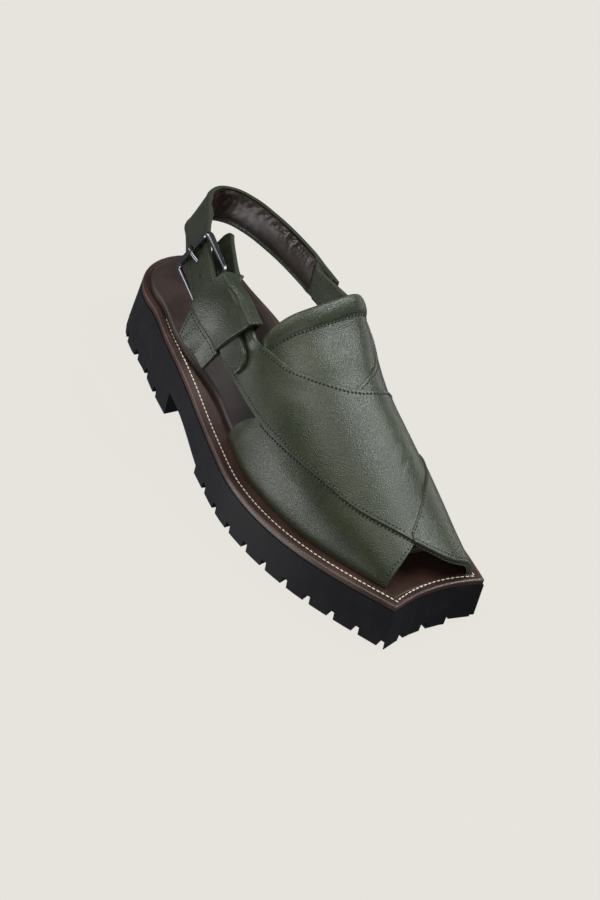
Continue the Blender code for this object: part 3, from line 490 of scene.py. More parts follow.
def on_strap(length, across, out):
    """A point by its distance along the strap, across it upwards, and out of its face."""
    station = station_at(length)
    centre, lean = strap_point(station)
    ahead = (strap_point(min(station + 0.004, 1.0))[0]
             - strap_point(max(station - 0.004, 0.0))[0]).normalized()
    upright = Vector((0.0, 0.0, 1.0))
    upright = (upright - ahead * upright.dot(ahead)).normalized()
    outward = ahead.cross(upright).normalized()
    top = upright * math.cos(lean) - outward * math.sin(lean)
    face = outward * math.cos(lean) + upright * math.sin(lean)
    return centre + top * across + face * out


BAR_AT = STRAP_LENGTHS[round(BAR_STATION * STRAP_STEPS)]
HINGE_AT = BAR_AT + BUCKLE_LENGTH
HINGE_OUT = -(BILLET / 2 + CLEARANCE + KNUCKLE_WALL + CLEARANCE + WIRE_RADIUS)
BAR_OUT = BILLET / 2 + CLEARANCE + WIRE_RADIUS
EAR_TOP = HINGE_OUT - WIRE_RADIUS - CLEARANCE - PRONG_WIRE - CLEARANCE
KEEPER_AT = HINGE_AT + KEEPER_GAP
EAR_REST = -(BILLET / 2 + CLEARANCE)


def strap_thickness(length):
    """The strap is padded round the heel and thin where it passes the buckle."""
    padding = ease(length, 0.05 * STRAP_LENGTH, 0.11 * STRAP_LENGTH)
    padding -= ease(length, 0.50 * STRAP_LENGTH, 0.60 * STRAP_LENGTH)
    return mix(BILLET, PADDED_STRAP, padding)


def end_width(from_end, width):
    """A strap's width near its rounded end."""
    reach = min(from_end / (width / 2), 1.0)
    return width * max(math.sqrt(1 - (1 - reach) ** 2), 0.25)


def strap_width(length):
    """The strap is wide round the heel and narrow where it passes the buckle."""
    narrow = ease(length, 0.42 * STRAP_LENGTH, 0.62 * STRAP_LENGTH)
    return mix(STRAP_WIDTH, BILLET_WIDTH, narrow)


def ear_out(length):
    """How deep the ear's outer face lies under the strap's middle."""
    rise = ease(length, HINGE_AT + 0.62 * KEEPER_GAP, HINGE_AT + 0.46 * KEEPER_LENGTH)
    return mix(EAR_TOP, EAR_REST, rise)


def hinge_axes():
    """The buckle's own frame: the middle of its hinge bar, the ways to the outer bar and along
    the hinge bar, and the way out of its face."""
    middle = on_strap(HINGE_AT, 0.0, HINGE_OUT)
    back = (on_strap(BAR_AT, 0.0, BAR_OUT) - middle).normalized()
    aside = (on_strap(HINGE_AT, 1.0, 0.0) - on_strap(HINGE_AT, 0.0, 0.0)
             + on_strap(BAR_AT, 1.0, 0.0) - on_strap(BAR_AT, 0.0, 0.0))
    aside = (aside - back * aside.dot(back)).normalized()
    return middle, back, aside, aside.cross(back)


# Edges and unevenness

def spread(share):
    """Even shares drawn towards both ends, where edges need more rows."""
    return share - 0.78 * math.sin(2 * math.pi * share) / (2 * math.pi)


def edge_drop(distance, radius):
    """How far a rounded edge falls below the face at a distance from the border."""
    inward = min(max(1 - distance / radius, 0.0), 1.0)
    return radius * (1 - math.sqrt(1 - inward * inward))


def waves(point):
    """The slow unevenness of leather stretched over a last."""
    return 0.00035 * noise.noise(point / 0.028)


# Making pieces

def grid_solid(along, across, place, mark=None, loop=False):
    """A closed solid from a grid of unit size; place gives each corner's point for its shares
    along, across and through, and mark how near the border it lies. A loop is welded shut."""
    bm = bmesh.new()
    bmesh.ops.create_grid(bm, x_segments=along, y_segments=across, size=0.5)
    top = bmesh.ops.extrude_face_region(bm, geom=bm.faces[:], use_keep_orig=True)["geom"]
    corners = [part for part in top if isinstance(part, bmesh.types.BMVert)]
    bmesh.ops.translate(bm, vec=(0, 0, 1), verts=corners)
    border = bm.verts.layers.float.new("edge")
    if loop:
        ends = [face for face in bm.faces if all(abs(vert.co.x) > 0.499 for vert in face.verts)]
        bmesh.ops.delete(bm, geom=ends, context="FACES_ONLY")
    for face in bm.faces:
        face.material_index = 1 if all(vert.co.z < 0.5 for vert in face.verts) else 0
        face.smooth = True
    for vert in bm.verts:
        shares = vert.co.x + 0.5, vert.co.y + 0.5, vert.co.z
        vert[border] = mark(*shares) if mark else 0.0
        vert.co = place(*shares)
    if loop:
        bmesh.ops.remove_doubles(bm, verts=bm.verts[:], dist=0.00001)
    bmesh.ops.recalc_face_normals(bm, faces=bm.faces)
    return bm


def put(name, data):
    """A new object with its data, in the scene."""
    made = bpy.data.objects.new(name, data)
    bpy.context.scene.collection.objects.link(made)
    return made


def piece(bm, name, finishes, slot, replaces=(), sharp=50):
    """Turn a bmesh into a piece that rides on the shoe."""
    bmesh.ops.translate(bm, vec=TO_ORIGIN, verts=bm.verts)
    mesh = bpy.data.meshes.new(name)
    bm.to_mesh(mesh)
    bm.free()
    made = put(name, mesh)
    for finish in finishes:
        mesh.materials.append(finish)
    mesh.shade_smooth()
    mesh.set_sharp_from_angle(angle=math.radians(sharp))
    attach(made, "root")
    if replaces:
        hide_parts(*replaces)
    return made


def tube(route, radii, around, closed=False):
    """A round bar along a route of points; radii holds one number for each."""
    count = len(route)
    frames, side = [], None
    for k, point in enumerate(route):
        if closed:
            ahead = (route[(k + 1) % count] - route[k - 1]).normalized()
        else:
            ahead = (route[min(k + 1, count - 1)] - route[max(k - 1, 0)]).normalized()
        side = ahead.orthogonal() if side is None else side - ahead * side.dot(ahead)
        side.normalize()
        frames.append((point, side.copy(), ahead.cross(side)))
    rows = count if closed else count - 1
    bm = bmesh.new()
    bmesh.ops.create_grid(bm, x_segments=rows, y_segments=around, size=0.5)
    for vert in bm.verts:
        k = round((vert.co.x + 0.5) * rows) % count
        angle = (vert.co.y + 0.5) * 2 * math.pi
        point, one, two = frames[k]
        vert.co = point + (one * math.cos(angle) + two * math.sin(angle)) * radii[k]
    bmesh.ops.remove_doubles(bm, verts=bm.verts[:], dist=0.000002)
    if not closed:
        bmesh.ops.holes_fill(bm, edges=[edge for edge in bm.edges if edge.is_boundary], sides=0)
    bmesh.ops.recalc_face_normals(bm, faces=bm.faces)
    return bm


def join(parts):
    """Several bmeshes in one."""
    whole = bmesh.new()
    for part in parts:
        held = bpy.data.meshes.new("held")
        part.to_mesh(held)
        part.free()
        whole.from_mesh(held)
        bpy.data.meshes.remove(held)
    return whole


# Materials

class Value:
    """A node's output, with arithmetic that adds Math nodes."""

    def __init__(self, look, socket):
        self.look, self.socket = look, socket

    def maths(self, operation, *others):
        return self.look.node("ShaderNodeMath", {"operation": operation},
                              dict(enumerate((self,) + others)))

    def __add__(self, other):
        return self.maths("ADD", other)

    def __mul__(self, other):
        return self.maths("MULTIPLY", other)

    def __sub__(self, other):
        return self.maths("SUBTRACT", other)

    __radd__ = __add__


class Look:
    """A material whose nodes are added one at a time."""

    def __init__(self, name):
        self.material = bpy.data.materials.new(name)
        self.material.use_nodes = True
        self.tree = self.material.node_tree
        self.shader = self.tree.nodes["Principled BSDF"]

    def node(self, kind, settings=None, sockets=None, output=0):
        made = self.tree.nodes.new(kind)
        for name, setting in (settings or {}).items():
            setattr(made, name, setting)
        for name, value in (sockets or {}).items():
            self.feed(made.inputs[name], value)
        return Value(self, made.outputs[output])

    def feed(self, socket, value):
        """Link a value to a socket, or set the socket; a tuple is a colour."""
        if isinstance(value, Value):
            self.tree.links.new(value.socket, socket)
        else:
            socket.default_value = (*value, 1.0) if isinstance(value, tuple) else value

    def set(self, **values):
        for name, value in values.items():
            self.feed(self.shader.inputs[name.replace("_", " ")], value)

    def place(self):
        return self.node("ShaderNodeTexCoord", output="Object")

    def noise(self, where, size, detail=2.0, rough=0.5):
        return self.node("ShaderNodeTexNoise", {}, {"Vector": where, "Scale": 1 / size,
                                                    "Detail": detail, "Roughness": rough})

    def cells(self, where, size):
        return self.node("ShaderNodeTexVoronoi", {"feature": "F1"}, {"Vector": where, "Scale": 1 / size})

    def attribute(self, name):
        return self.node("ShaderNodeAttribute", {"attribute_name": name}, {}, "Fac")

    def blend(self, share, one, two):
        made = self.tree.nodes.new("ShaderNodeMix")
        made.data_type = "RGBA"
        for socket, value in ((made.inputs["Factor"], share), (made.inputs[6], one), (made.inputs[7], two)):
            self.feed(socket, value)
        return Value(self, made.outputs[2])

    def ramp(self, value, low, high):
        return self.node("ShaderNodeMapRange", {"interpolation_type": "SMOOTHSTEP"},
                         {"Value": value, "From Min": low, "From Max": high})

    def bump(self, height, distance):
        return self.node("ShaderNodeBump", {}, {"Height": height, "Distance": distance})


def leather(name, dark, light, worn, roughness, grain, depth, coat):
    """Grained leather: mottled colour, pebbled grain, and paler folded edges."""
    look = Look(name)
    here = look.place()
    mottle = look.ramp(look.noise(here, 0.018, 3.0), 0.3, 0.7)
    speck = look.ramp(look.noise(here, 0.0011, 2.0), 0.35, 0.75)
    tone = look.blend(mottle * 0.6 + speck * 0.4, dark, light)
    edge = look.attribute("edge")
    look.set(Base_Color=look.blend(edge * (0.45 + speck * 0.4), tone, worn))
    pebbles = look.cells(here, grain)
    pores = look.noise(here, 0.0006, 2.0)
    look.set(Roughness=roughness + speck * 0.10 - edge * 0.05,
             Normal=look.bump(pebbles * 0.7 + pores * 0.6, depth))
    look.set(Specular_IOR_Level=0.5, Coat_Weight=coat, Coat_Roughness=0.35)
    return look.material


def satin(name, dark, light, roughness, depth=0.00004, coat=0.15):
    """Smooth lining or footbed leather with a faint grain."""
    look = Look(name)
    here = look.place()
    mottle = look.ramp(look.noise(here, 0.025, 4.0), 0.3, 0.7)
    fine = look.noise(here, 0.0008, 3.0)
    look.set(Base_Color=look.blend(mottle, dark, light), Roughness=roughness + mottle * 0.12)
    look.set(Normal=look.bump(fine + mottle * 0.5, depth), Coat_Weight=coat, Coat_Roughness=0.25)
    return look.material


def rubber(name, dark, light):
    look = Look(name)
    here = look.place()
    dust = look.ramp(look.noise(here, 0.012, 5.0, 0.6), 0.4, 0.8)
    fine = look.noise(here, 0.0007, 2.0)
    look.set(Base_Color=look.blend(dust, dark, light), Roughness=0.50 + dust * 0.15,
             Normal=look.bump(fine, 0.00005), Specular_IOR_Level=0.20)
    return look.material


def metal(name, tone, roughness):
    look = Look(name)
    here = look.place()
    haze = look.noise(here, 0.004, 4.0)
    look.set(Base_Color=look.blend(haze, tone, tuple(0.7 * part for part in tone)),
             Metallic=1.0, Roughness=roughness + haze * 0.12,
             Normal=look.bump(look.noise(here, 0.0015), 0.00001))
    return look.material


def thread(name, dark, light):
    look = Look(name)
    here = look.place()
    twist = look.noise(here, 0.0005, 2.0)
    look.set(Base_Color=look.blend(twist, dark, light), Roughness=0.75, Normal=look.bump(twist, 0.0001))
    return look.material


GREEN = leather("green_grain_leather", (0.019, 0.025, 0.010), (0.036, 0.046, 0.020), (0.060, 0.074, 0.044),
                0.30, grain=0.0007, depth=0.00020, coat=0.06)
STRAP_GREEN = leather("green_strap_leather", (0.016, 0.022, 0.010), (0.030, 0.038, 0.018),
                      (0.040, 0.048, 0.030), 0.32, grain=0.0009, depth=0.00016, coat=0.05)
LINING = satin("brown_lining_leather", (0.018, 0.010, 0.008), (0.034, 0.018, 0.014), 0.40)
PAD = satin("wrinkled_pad_leather", (0.016, 0.009, 0.006), (0.030, 0.017, 0.012), 0.33, coat=0.12)
FOOTBED = satin("footbed_leather", (0.022, 0.013, 0.010), (0.038, 0.022, 0.017), 0.36, coat=0.08)
WELT_LEATHER = satin("welt_leather", (0.030, 0.013, 0.009), (0.055, 0.024, 0.017), 0.36)
# the bead is painted paler than the welt leather: a painted highlight along the welt's edge
BEAD_HIGHLIGHT = satin("welt_bead_painted_highlight", (0.070, 0.040, 0.031), (0.120, 0.075, 0.060), 0.32)
RUBBER = rubber("black_rubber_sole", (0.008, 0.008, 0.0095), (0.015, 0.015, 0.0175))
STEEL = metal("dark_polished_steel", (0.24, 0.24, 0.25), 0.11)
CREAM_THREAD = thread("cream_thread", (0.62, 0.54, 0.42), (0.86, 0.80, 0.68))
GREEN_THREAD = thread("green_thread", (0.045, 0.055, 0.032), (0.110, 0.125, 0.085))
# near-black beads: painted shade inside the needle holes and the strap's holes
PAINTED_HOLE_SHADE = thread("painted_hole_shade", (0.002, 0.002, 0.002), (0.004, 0.004, 0.003))


# Sole, welt and footbed

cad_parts["outsole"].data.materials.clear()
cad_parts["outsole"].data.materials.append(RUBBER)


def sole_plate(along, across, insets, low, high, soft, front=SOLE_LENGTH, relief=None):
    """A plate of the sole's plan with a rounded top edge."""
    def spot(s, t):
        u, v = spread(s), spread(t)
        lateral_inset, medial_inset = insets(u * SOLE_LENGTH)
        x, y = plan_point(u, v, lateral_inset, medial_inset, HEEL_RAKE, front)
        width = side_point(x, 1, medial_inset, HEEL_RAKE) - side_point(x, 0, lateral_inset, HEEL_RAKE)
        border = min(v, 1 - v) * max(width, 0.03)
        if x > 0.5 * SOLE_LENGTH:
            border = min(border, (1 - u) * front)
        if x < HEEL_ROUND:
            border = min(border, u * front + 0.0001)
        return x, y, border

    def place(s, t, w):
        x, y, border = spot(s, t)
        if w < 0.5:
            return x, y, low(x)
        z = high(x) - edge_drop(border, soft)
        return x, y, z + (relief(x, y, border) if relief else 0.0)

    def mark(s, t, w):
        return math.exp(-spot(s, t)[2] / 0.0008)
    return grid_solid(along, across, place, mark)


def side_shares(lateral_from, medial_to):
    """Shares of the plan along its lateral side, round the toe and back."""
    shares = [(lateral_from + (1 - lateral_from) * k / 150, 0.0) for k in range(150)]
    shares += [(1.0, k / 40) for k in range(40)]
    return shares + [(1 - (1 - medial_to) * k / 150, 1.0) for k in range(151)]


def welt_route(shares, inset, height):
    """Points over the welt's face at shares of the plan, at an inset."""
    route = []
    for u, v in shares:
        x, y = plan_point(u, v, inset, inset, HEEL_RAKE, SOLE_LENGTH)
        route.append(Vector((x, y, welt_top(x) + height)))
    return route


WELT_STITCH_INSET = 0.0050
BEAD_RADIUS = 0.0005
BEAD_INSET = WELT_INSET + 0.6 * BEAD_RADIUS
BEAD_DROP = -1.1 * BEAD_RADIUS
FOOTBED_GROOVE_INSET = 0.0048


def welt_groove(x, y, border):
    """The welt's face dips under its stitches and behind its bead."""
    return -0.00025 * math.exp(-((border - WELT_STITCH_INSET) / 0.0007) ** 2)


def dress_sole():
    body = sole_plate(200, 44, lambda x: (WELT_INSET, WELT_INSET), lambda x: rubber_top(x) + CLEARANCE,
                      welt_top, WELT_ROUND, relief=welt_groove)
    piece(body, "welt_strip", [WELT_LEATHER, WELT_LEATHER], "welt_leather", ["welt"])
    round_heel = [(0.0, 1 - k / 40) for k in range(40)]
    around = welt_route(round_heel + side_shares(0.0, 0.0)[:-1], BEAD_INSET, BEAD_DROP)
    around = [point for point, after in zip(around, around[1:] + around[:1])
              if (after - point).length > 0.0002]
    # the welt's bead, whose paler brown is a painted highlight
    piece(tube(around, [BEAD_RADIUS] * len(around), 10, closed=True), "welt_bead", [BEAD_HIGHLIGHT], "welt_leather")

    def relief(x, y, border):
        """The footbed's heel pad and groove, the folds at its front, and its hollow."""
        heel = 1 - ease(x, 0.30 * SOLE_LENGTH, 0.36 * SOLE_LENGTH)
        rise = 0.0005 * ease(border, 0.0045, 0.0085) * heel
        groove = -0.00030 * math.exp(-((border - FOOTBED_GROOVE_INSET) / 0.0010) ** 2) * heel
        toe = ease(x, 0.80 * SOLE_LENGTH, 0.88 * SOLE_LENGTH)
        folds = 0.00035 * toe * noise.noise(Vector((x / 0.0045, y / 0.030, 0.0)))
        dish = -0.0010 * math.exp(-((x - 0.235) / 0.035) ** 2 - (y / 0.03) ** 2)
        return rise + groove + folds + dish + 0.00025 * noise.noise(Vector((x, y, 0.0)) / 0.020)

    bed = sole_plate(180, 60, footbed_insets, lambda x: welt_top(x) + CLEARANCE,
                     lambda x: welt_top(x) + CLEARANCE + INSOLE_THICKNESS - 0.0006, INSOLE_ROUND,
                     INSOLE_FRONT, relief)
    bed = piece(bed, "footbed", [FOOTBED, FOOTBED], "footbed_leather", ["insole"])


def footbed_insets(x):
    """The footbed fills the heel and draws in to stand inside the upper's walls."""
    share = ease(x, 0.20 * SOLE_LENGTH, 0.44 * SOLE_LENGTH)
    lateral = LATERAL_FEATHER + 2 * CLEARANCE
    medial = MEDIAL_FEATHER + 2 * CLEARANCE
    return mix(INSOLE_HEEL_INSET, lateral, share), mix(INSOLE_HEEL_INSET, medial, share)


# Leather panels

# station and girth share of a crease's two ends, its depth and its width
CREASES = (
    (0.760, 0.640, 0.790, 0.560, 0.00035, 0.0016),
    (0.742, 0.700, 0.772, 0.610, 0.00030, 0.0014),
    (0.725, 0.640, 0.750, 0.575, 0.00025, 0.0013),
    (0.800, 0.690, 0.825, 0.600, 0.00028, 0.0016),
    (0.700, 0.720, 0.722, 0.650, 0.00022, 0.0013),
    (0.560, 0.300, 0.640, 0.420, 0.00030, 0.0040),
    (0.640, 0.090, 0.760, 0.130, 0.00040, 0.0050),
    (0.520, 0.060, 0.560, 0.180, 0.00035, 0.0035),
)
GIRTH_LENGTH = 0.175
PANEL_EDGE = 0.0007


def crease(x, girth):
    """How far the listed creases sink the leather at a point."""
    sunk = 0.0
    here = Vector((x, girth * GIRTH_LENGTH))
    for x0, girth0, x1, girth1, depth, width in CREASES:
        one = Vector((x0 * SOLE_LENGTH, girth0 * GIRTH_LENGTH))
        two = Vector((x1 * SOLE_LENGTH, girth1 * GIRTH_LENGTH))
        along = min(max((here - one).dot(two - one) / (two - one).length_squared, 0.0), 1.0)
        away = (here - one.lerp(two, along)).length / width
        if away < 3.5:
            fade = 4 * along * (1 - along) if 0 < along < 1 else 0.0
            sunk += depth * fade * (math.exp(-away * away) - 0.45 * math.exp(-((away - 1.5) ** 2)))
    return sunk


def rib_spot(ribs, s, t):
    """Distance forward and girth share at shares along the panel and along its rib."""
    x0, girth0, x1, girth1, *bow = read_ribs(ribs, s)
    station = mix(x0, x1, t)
    if bow:
        station += bow[0] * 4 * t * (1 - t)
    return SOLE_LENGTH * station, mix(girth0, girth1, t)


def panel_lengths(ribs, steps=40):
    """Lengths of the ribs at even shares along the panel, and the length of its middle line."""
    ends = [(last_point(*rib_spot(ribs, k / steps, 0.0)), last_point(*rib_spot(ribs, k / steps, 1.0)))
            for k in range(steps + 1)]
    middles = [one.lerp(two, 0.5) for one, two in ends]
    ribs_long = [max((two - one).length, 0.002) for one, two in ends]
    return ribs_long, sum((b - a).length for a, b in zip(middles, middles[1:]))


def even_line(place, start, span, steps):
    """What place gives at even steps over a span."""
    return [place(start + span * k / steps) for k in range(steps + 1)]


class Panel:
    """A leather panel between two heights over the last, with rounded edges."""

    def __init__(self, ribs, inner, outer):
        self.ribs, self.inner, self.outer = ribs, inner, outer
        self.rib_lengths, self.length = panel_lengths(ribs)

    def rib_length(self, s):
        at = min(max(s, 0.0), 1.0) * (len(self.rib_lengths) - 1)
        k = min(int(at), len(self.rib_lengths) - 2)
        return mix(self.rib_lengths[k], self.rib_lengths[k + 1], at - k)

    def border(self, s, t):
        return min(min(t, 1 - t) * self.rib_length(s), min(s, 1 - s) * self.length)

    def spot(self, s, t, w):
        x, girth = rib_spot(self.ribs, s, t)
        if w < 0.5:
            lift = self.inner
        else:
            face = self.outer(s, t) if callable(self.outer) else self.outer
            base = last_point(x, girth)
            lift = face - edge_drop(self.border(s, t), PANEL_EDGE) - crease(x, girth)
            lift += waves(base)
        return last_point(x, girth) + last_normal(x, girth) * lift

    def solid(self, along, across):
        return grid_solid(along, across, lambda s, t, w: self.spot(spread(s), spread(t), w),
                          lambda s, t, w: math.exp(-self.border(spread(s), spread(t)) / 0.0009))

    def beside(self, side, inset, start, end):
        """A line of points beside one of the panel's four edges, each with the way out."""
        def place(share):
            if side in ("start", "end"):
                near = inset / self.rib_length(share)
                s, t = share, near if side == "start" else 1 - near
            else:
                near = inset / self.length
                s, t = near if side == "first" else 1 - near, share
            return self.spot(s, t, 1.0), last_normal(*rib_spot(self.ribs, s, t))
        return even_line(place, start, end - start, 90)


def collar_lift(s, t):
    """The tongue's free edge is a padded roll, which thins out under the bands at both ends."""
    x0, girth0, x1, girth1 = read_ribs(TONGUE_RIBS, s)
    rib = (last_point(SOLE_LENGTH * x1, girth1) - last_point(SOLE_LENGTH * x0, girth0)).length
    across_roll = 2 * t * rib / COLLAR_ROLL - 1
    puff = math.sqrt(max(0.0, 1 - across_roll**2))
    ends = ease(s, 0.0, 0.10) * (1 - ease(s, 0.80, 0.92))
    return LEATHER + 0.6 * COLLAR_PUFF * puff * ends


BAND_FACE = 2.9 * LAYER_STEP + LEATHER
TONGUE = Panel(TONGUE_RIBS, 0.0, collar_lift)
LATERAL_BAND = Panel(LATERAL_BAND_RIBS, 1.8 * LAYER_STEP, BAND_FACE)
MEDIAL_BAND = Panel(MEDIAL_BAND_RIBS, LAYER_STEP, 1.4 * LAYER_STEP + LEATHER)
LATERAL_WING = Panel(LATERAL_WING_RIBS, 0.0, LEATHER)
MEDIAL_WING = Panel(MEDIAL_WING_RIBS, 3.4 * LAYER_STEP, 4.6 * LAYER_STEP + LEATHER)

# Stitches are gathered while pieces are made: line of points, pitch, length and width of a
# stitch, and width of its hole, whose near-black bead is painted shade
stitches = {"green": [], "dark": [], "cream": []}


def walk(line, pitch):
    """Places at even spacing along a line: point, way ahead, way out."""
    places = []
    travelled, due = 0.0, pitch / 2
    for (one, out), (two, _) in zip(line, line[1:]):
        length = (two - one).length
        while length and due <= travelled + length:
            places.append((one.lerp(two, (due - travelled) / length), (two - one).normalized(), out))
            due += pitch
        travelled += length
    return places


def bead_matrix(point, ahead, out, size):
    """Where a small rounded bead lies: its long axis ahead, its flat side out."""
    side = out.cross(ahead).normalized()
    up = ahead.cross(side)
    turn = Matrix((ahead, side, up)).transposed().to_4x4()
    return Matrix.Translation(point) @ turn @ Matrix.Diagonal((*size, 1.0))


def beads(places):
    """Small rounded beads, one at each place."""
    bm = bmesh.new()
    for place in places:
        bmesh.ops.create_uvsphere(bm, u_segments=7, v_segments=4, radius=0.5, matrix=place)
    return bm


def sew(kind, line, pitch=0.0023, length=0.0014, width=0.0006, hole=0.0):
    stitches[kind].append((line, pitch, length, width, hole))


def finish_stitches():
    looks = {"green": (GREEN_THREAD, "upper_leather"), "dark": (GREEN_THREAD, "upper_leather"),
             "cream": (CREAM_THREAD, "welt_leather")}
    shade_pits = []
    for kind, rows in stitches.items():
        parts = []
        for line, pitch, length, width, hole in rows:
            places = walk(line, pitch)
            size = (length, width, 0.6 * width)
            parts.append(beads([bead_matrix(point + out * 0.00006, ahead, out, size)
                                for point, ahead, out in places]))
            # a near-black bead at each hole is painted shade standing in for the hole's depth
            if hole:
                pit = (hole, hole, 0.0007)
                shade_pits.append(beads([bead_matrix(point + ahead * pitch / 2, ahead, out, pit)
                                    for point, ahead, out in places]))
        piece(join(parts), kind + "_stitches", [looks[kind][0]], looks[kind][1])
    piece(join(shade_pits), "painted_hole_shades", [PAINTED_HOLE_SHADE], "upper_leather")


# name, panel, cells along and across it, and the finish of its back
PANELS = (
    ("lateral_band", LATERAL_BAND, 150, 90, LINING),
    ("tongue", TONGUE, 100, 90, LINING),
    ("medial_band", MEDIAL_BAND, 110, 50, GREEN),
    ("lateral_wing", LATERAL_WING, 130, 70, LINING),
    ("medial_wing", MEDIAL_WING, 110, 60, LINING),
)
SEAM_INSET = 0.0024
HOLE_WIDTH = 0.0010
BOLD_HOLE_WIDTH = 0.0016
# kind of stitch, panel, the edge it follows and how far from it, where it starts and ends as
# shares of that edge, and the width of its holes, whose near-black beads are painted shade
SEAMS = (
    ("dark", LATERAL_BAND, "end", 0.0026, 0.02, 0.99, BOLD_HOLE_WIDTH),
    ("green", LATERAL_BAND, "start", 0.0034, 0.02, 0.62, HOLE_WIDTH),
    ("green", LATERAL_BAND, "start", SEAM_INSET, 0.64, 0.99, HOLE_WIDTH),
    ("green", LATERAL_WING, "first", SEAM_INSET, 0.45, 0.98, HOLE_WIDTH),
    ("dark", LATERAL_WING, "last", SEAM_INSET, 0.04, 0.98, 0.0011),
    ("green", MEDIAL_WING, "start", SEAM_INSET, 0.04, 0.97, HOLE_WIDTH),
    ("green", MEDIAL_WING, "end", SEAM_INSET, 0.04, 0.97, HOLE_WIDTH),
    ("green", MEDIAL_BAND, "end", SEAM_INSET, 0.02, 0.97, HOLE_WIDTH),
    ("green", MEDIAL_BAND, "start", SEAM_INSET, 0.02, 0.97, HOLE_WIDTH),
)


def wing_seam(s):
    """A point of the bold row on the lateral wing, just outside the lateral band's lower edge."""
    x, girth = rib_spot(LATERAL_BAND_RIBS, s, -0.0016 / LATERAL_BAND.rib_length(s))
    base = last_point(x, girth)
    lift = LEATHER - crease(x, girth) + waves(base)
    return base + last_normal(x, girth) * lift, last_normal(x, girth)


def collar_seam(s):
    """A point of the bold row that closes the tongue's roll."""
    t = (COLLAR_ROLL + 0.0006) / TONGUE.rib_length(s)
    return TONGUE.spot(s, t, 1.0), last_normal(*rib_spot(TONGUE_RIBS, s, t))


def dress_upper():
    for name, panel, along, across, back in PANELS:
        piece(panel.solid(along, across), name, [GREEN, back], "upper_leather", ["upper"])
    for kind, panel, edge, inset, start, end, hole in SEAMS:
        sew(kind, panel.beside(edge, inset, start, end), hole=hole)
    sew("dark", even_line(wing_seam, 0.27, 0.69, 100), hole=0.0015)
    sew("dark", even_line(collar_seam, 0.02, 0.92, 100), hole=0.0017)


# The heel strap, its ear, keeper and buckle

LINING_START, LINING_END = 0.075, 0.545
STRAP_EDGE = 0.0009
THIN_EDGE = 0.0008
EAR_CROWDING = 1.25
TIP_FROM = 0.94
SHELL = 0.0012
LINING_INSET = 0.0016
COVER_START, COVER_SHARE = 0.004, 0.062
STRAP_SEAM_INSET = 0.0022


def strap_face(length, across):
    """How far out the strap's outer face lies."""
    half = strap_width(length) / 2
    border = half - abs(across)
    return strap_thickness(length) / 2 - edge_drop(max(border, 0.0), STRAP_EDGE)


def way_out(length, across=0.0):
    """The way out of the strap's face."""
    return on_strap(length, across, 1.0) - on_strap(length, across, 0.0)


def padded_share(length):
    share = length / STRAP_LENGTH
    return ease(share, LINING_START, LINING_START + 0.02) * (1 - ease(share, LINING_END - 0.04, LINING_END))


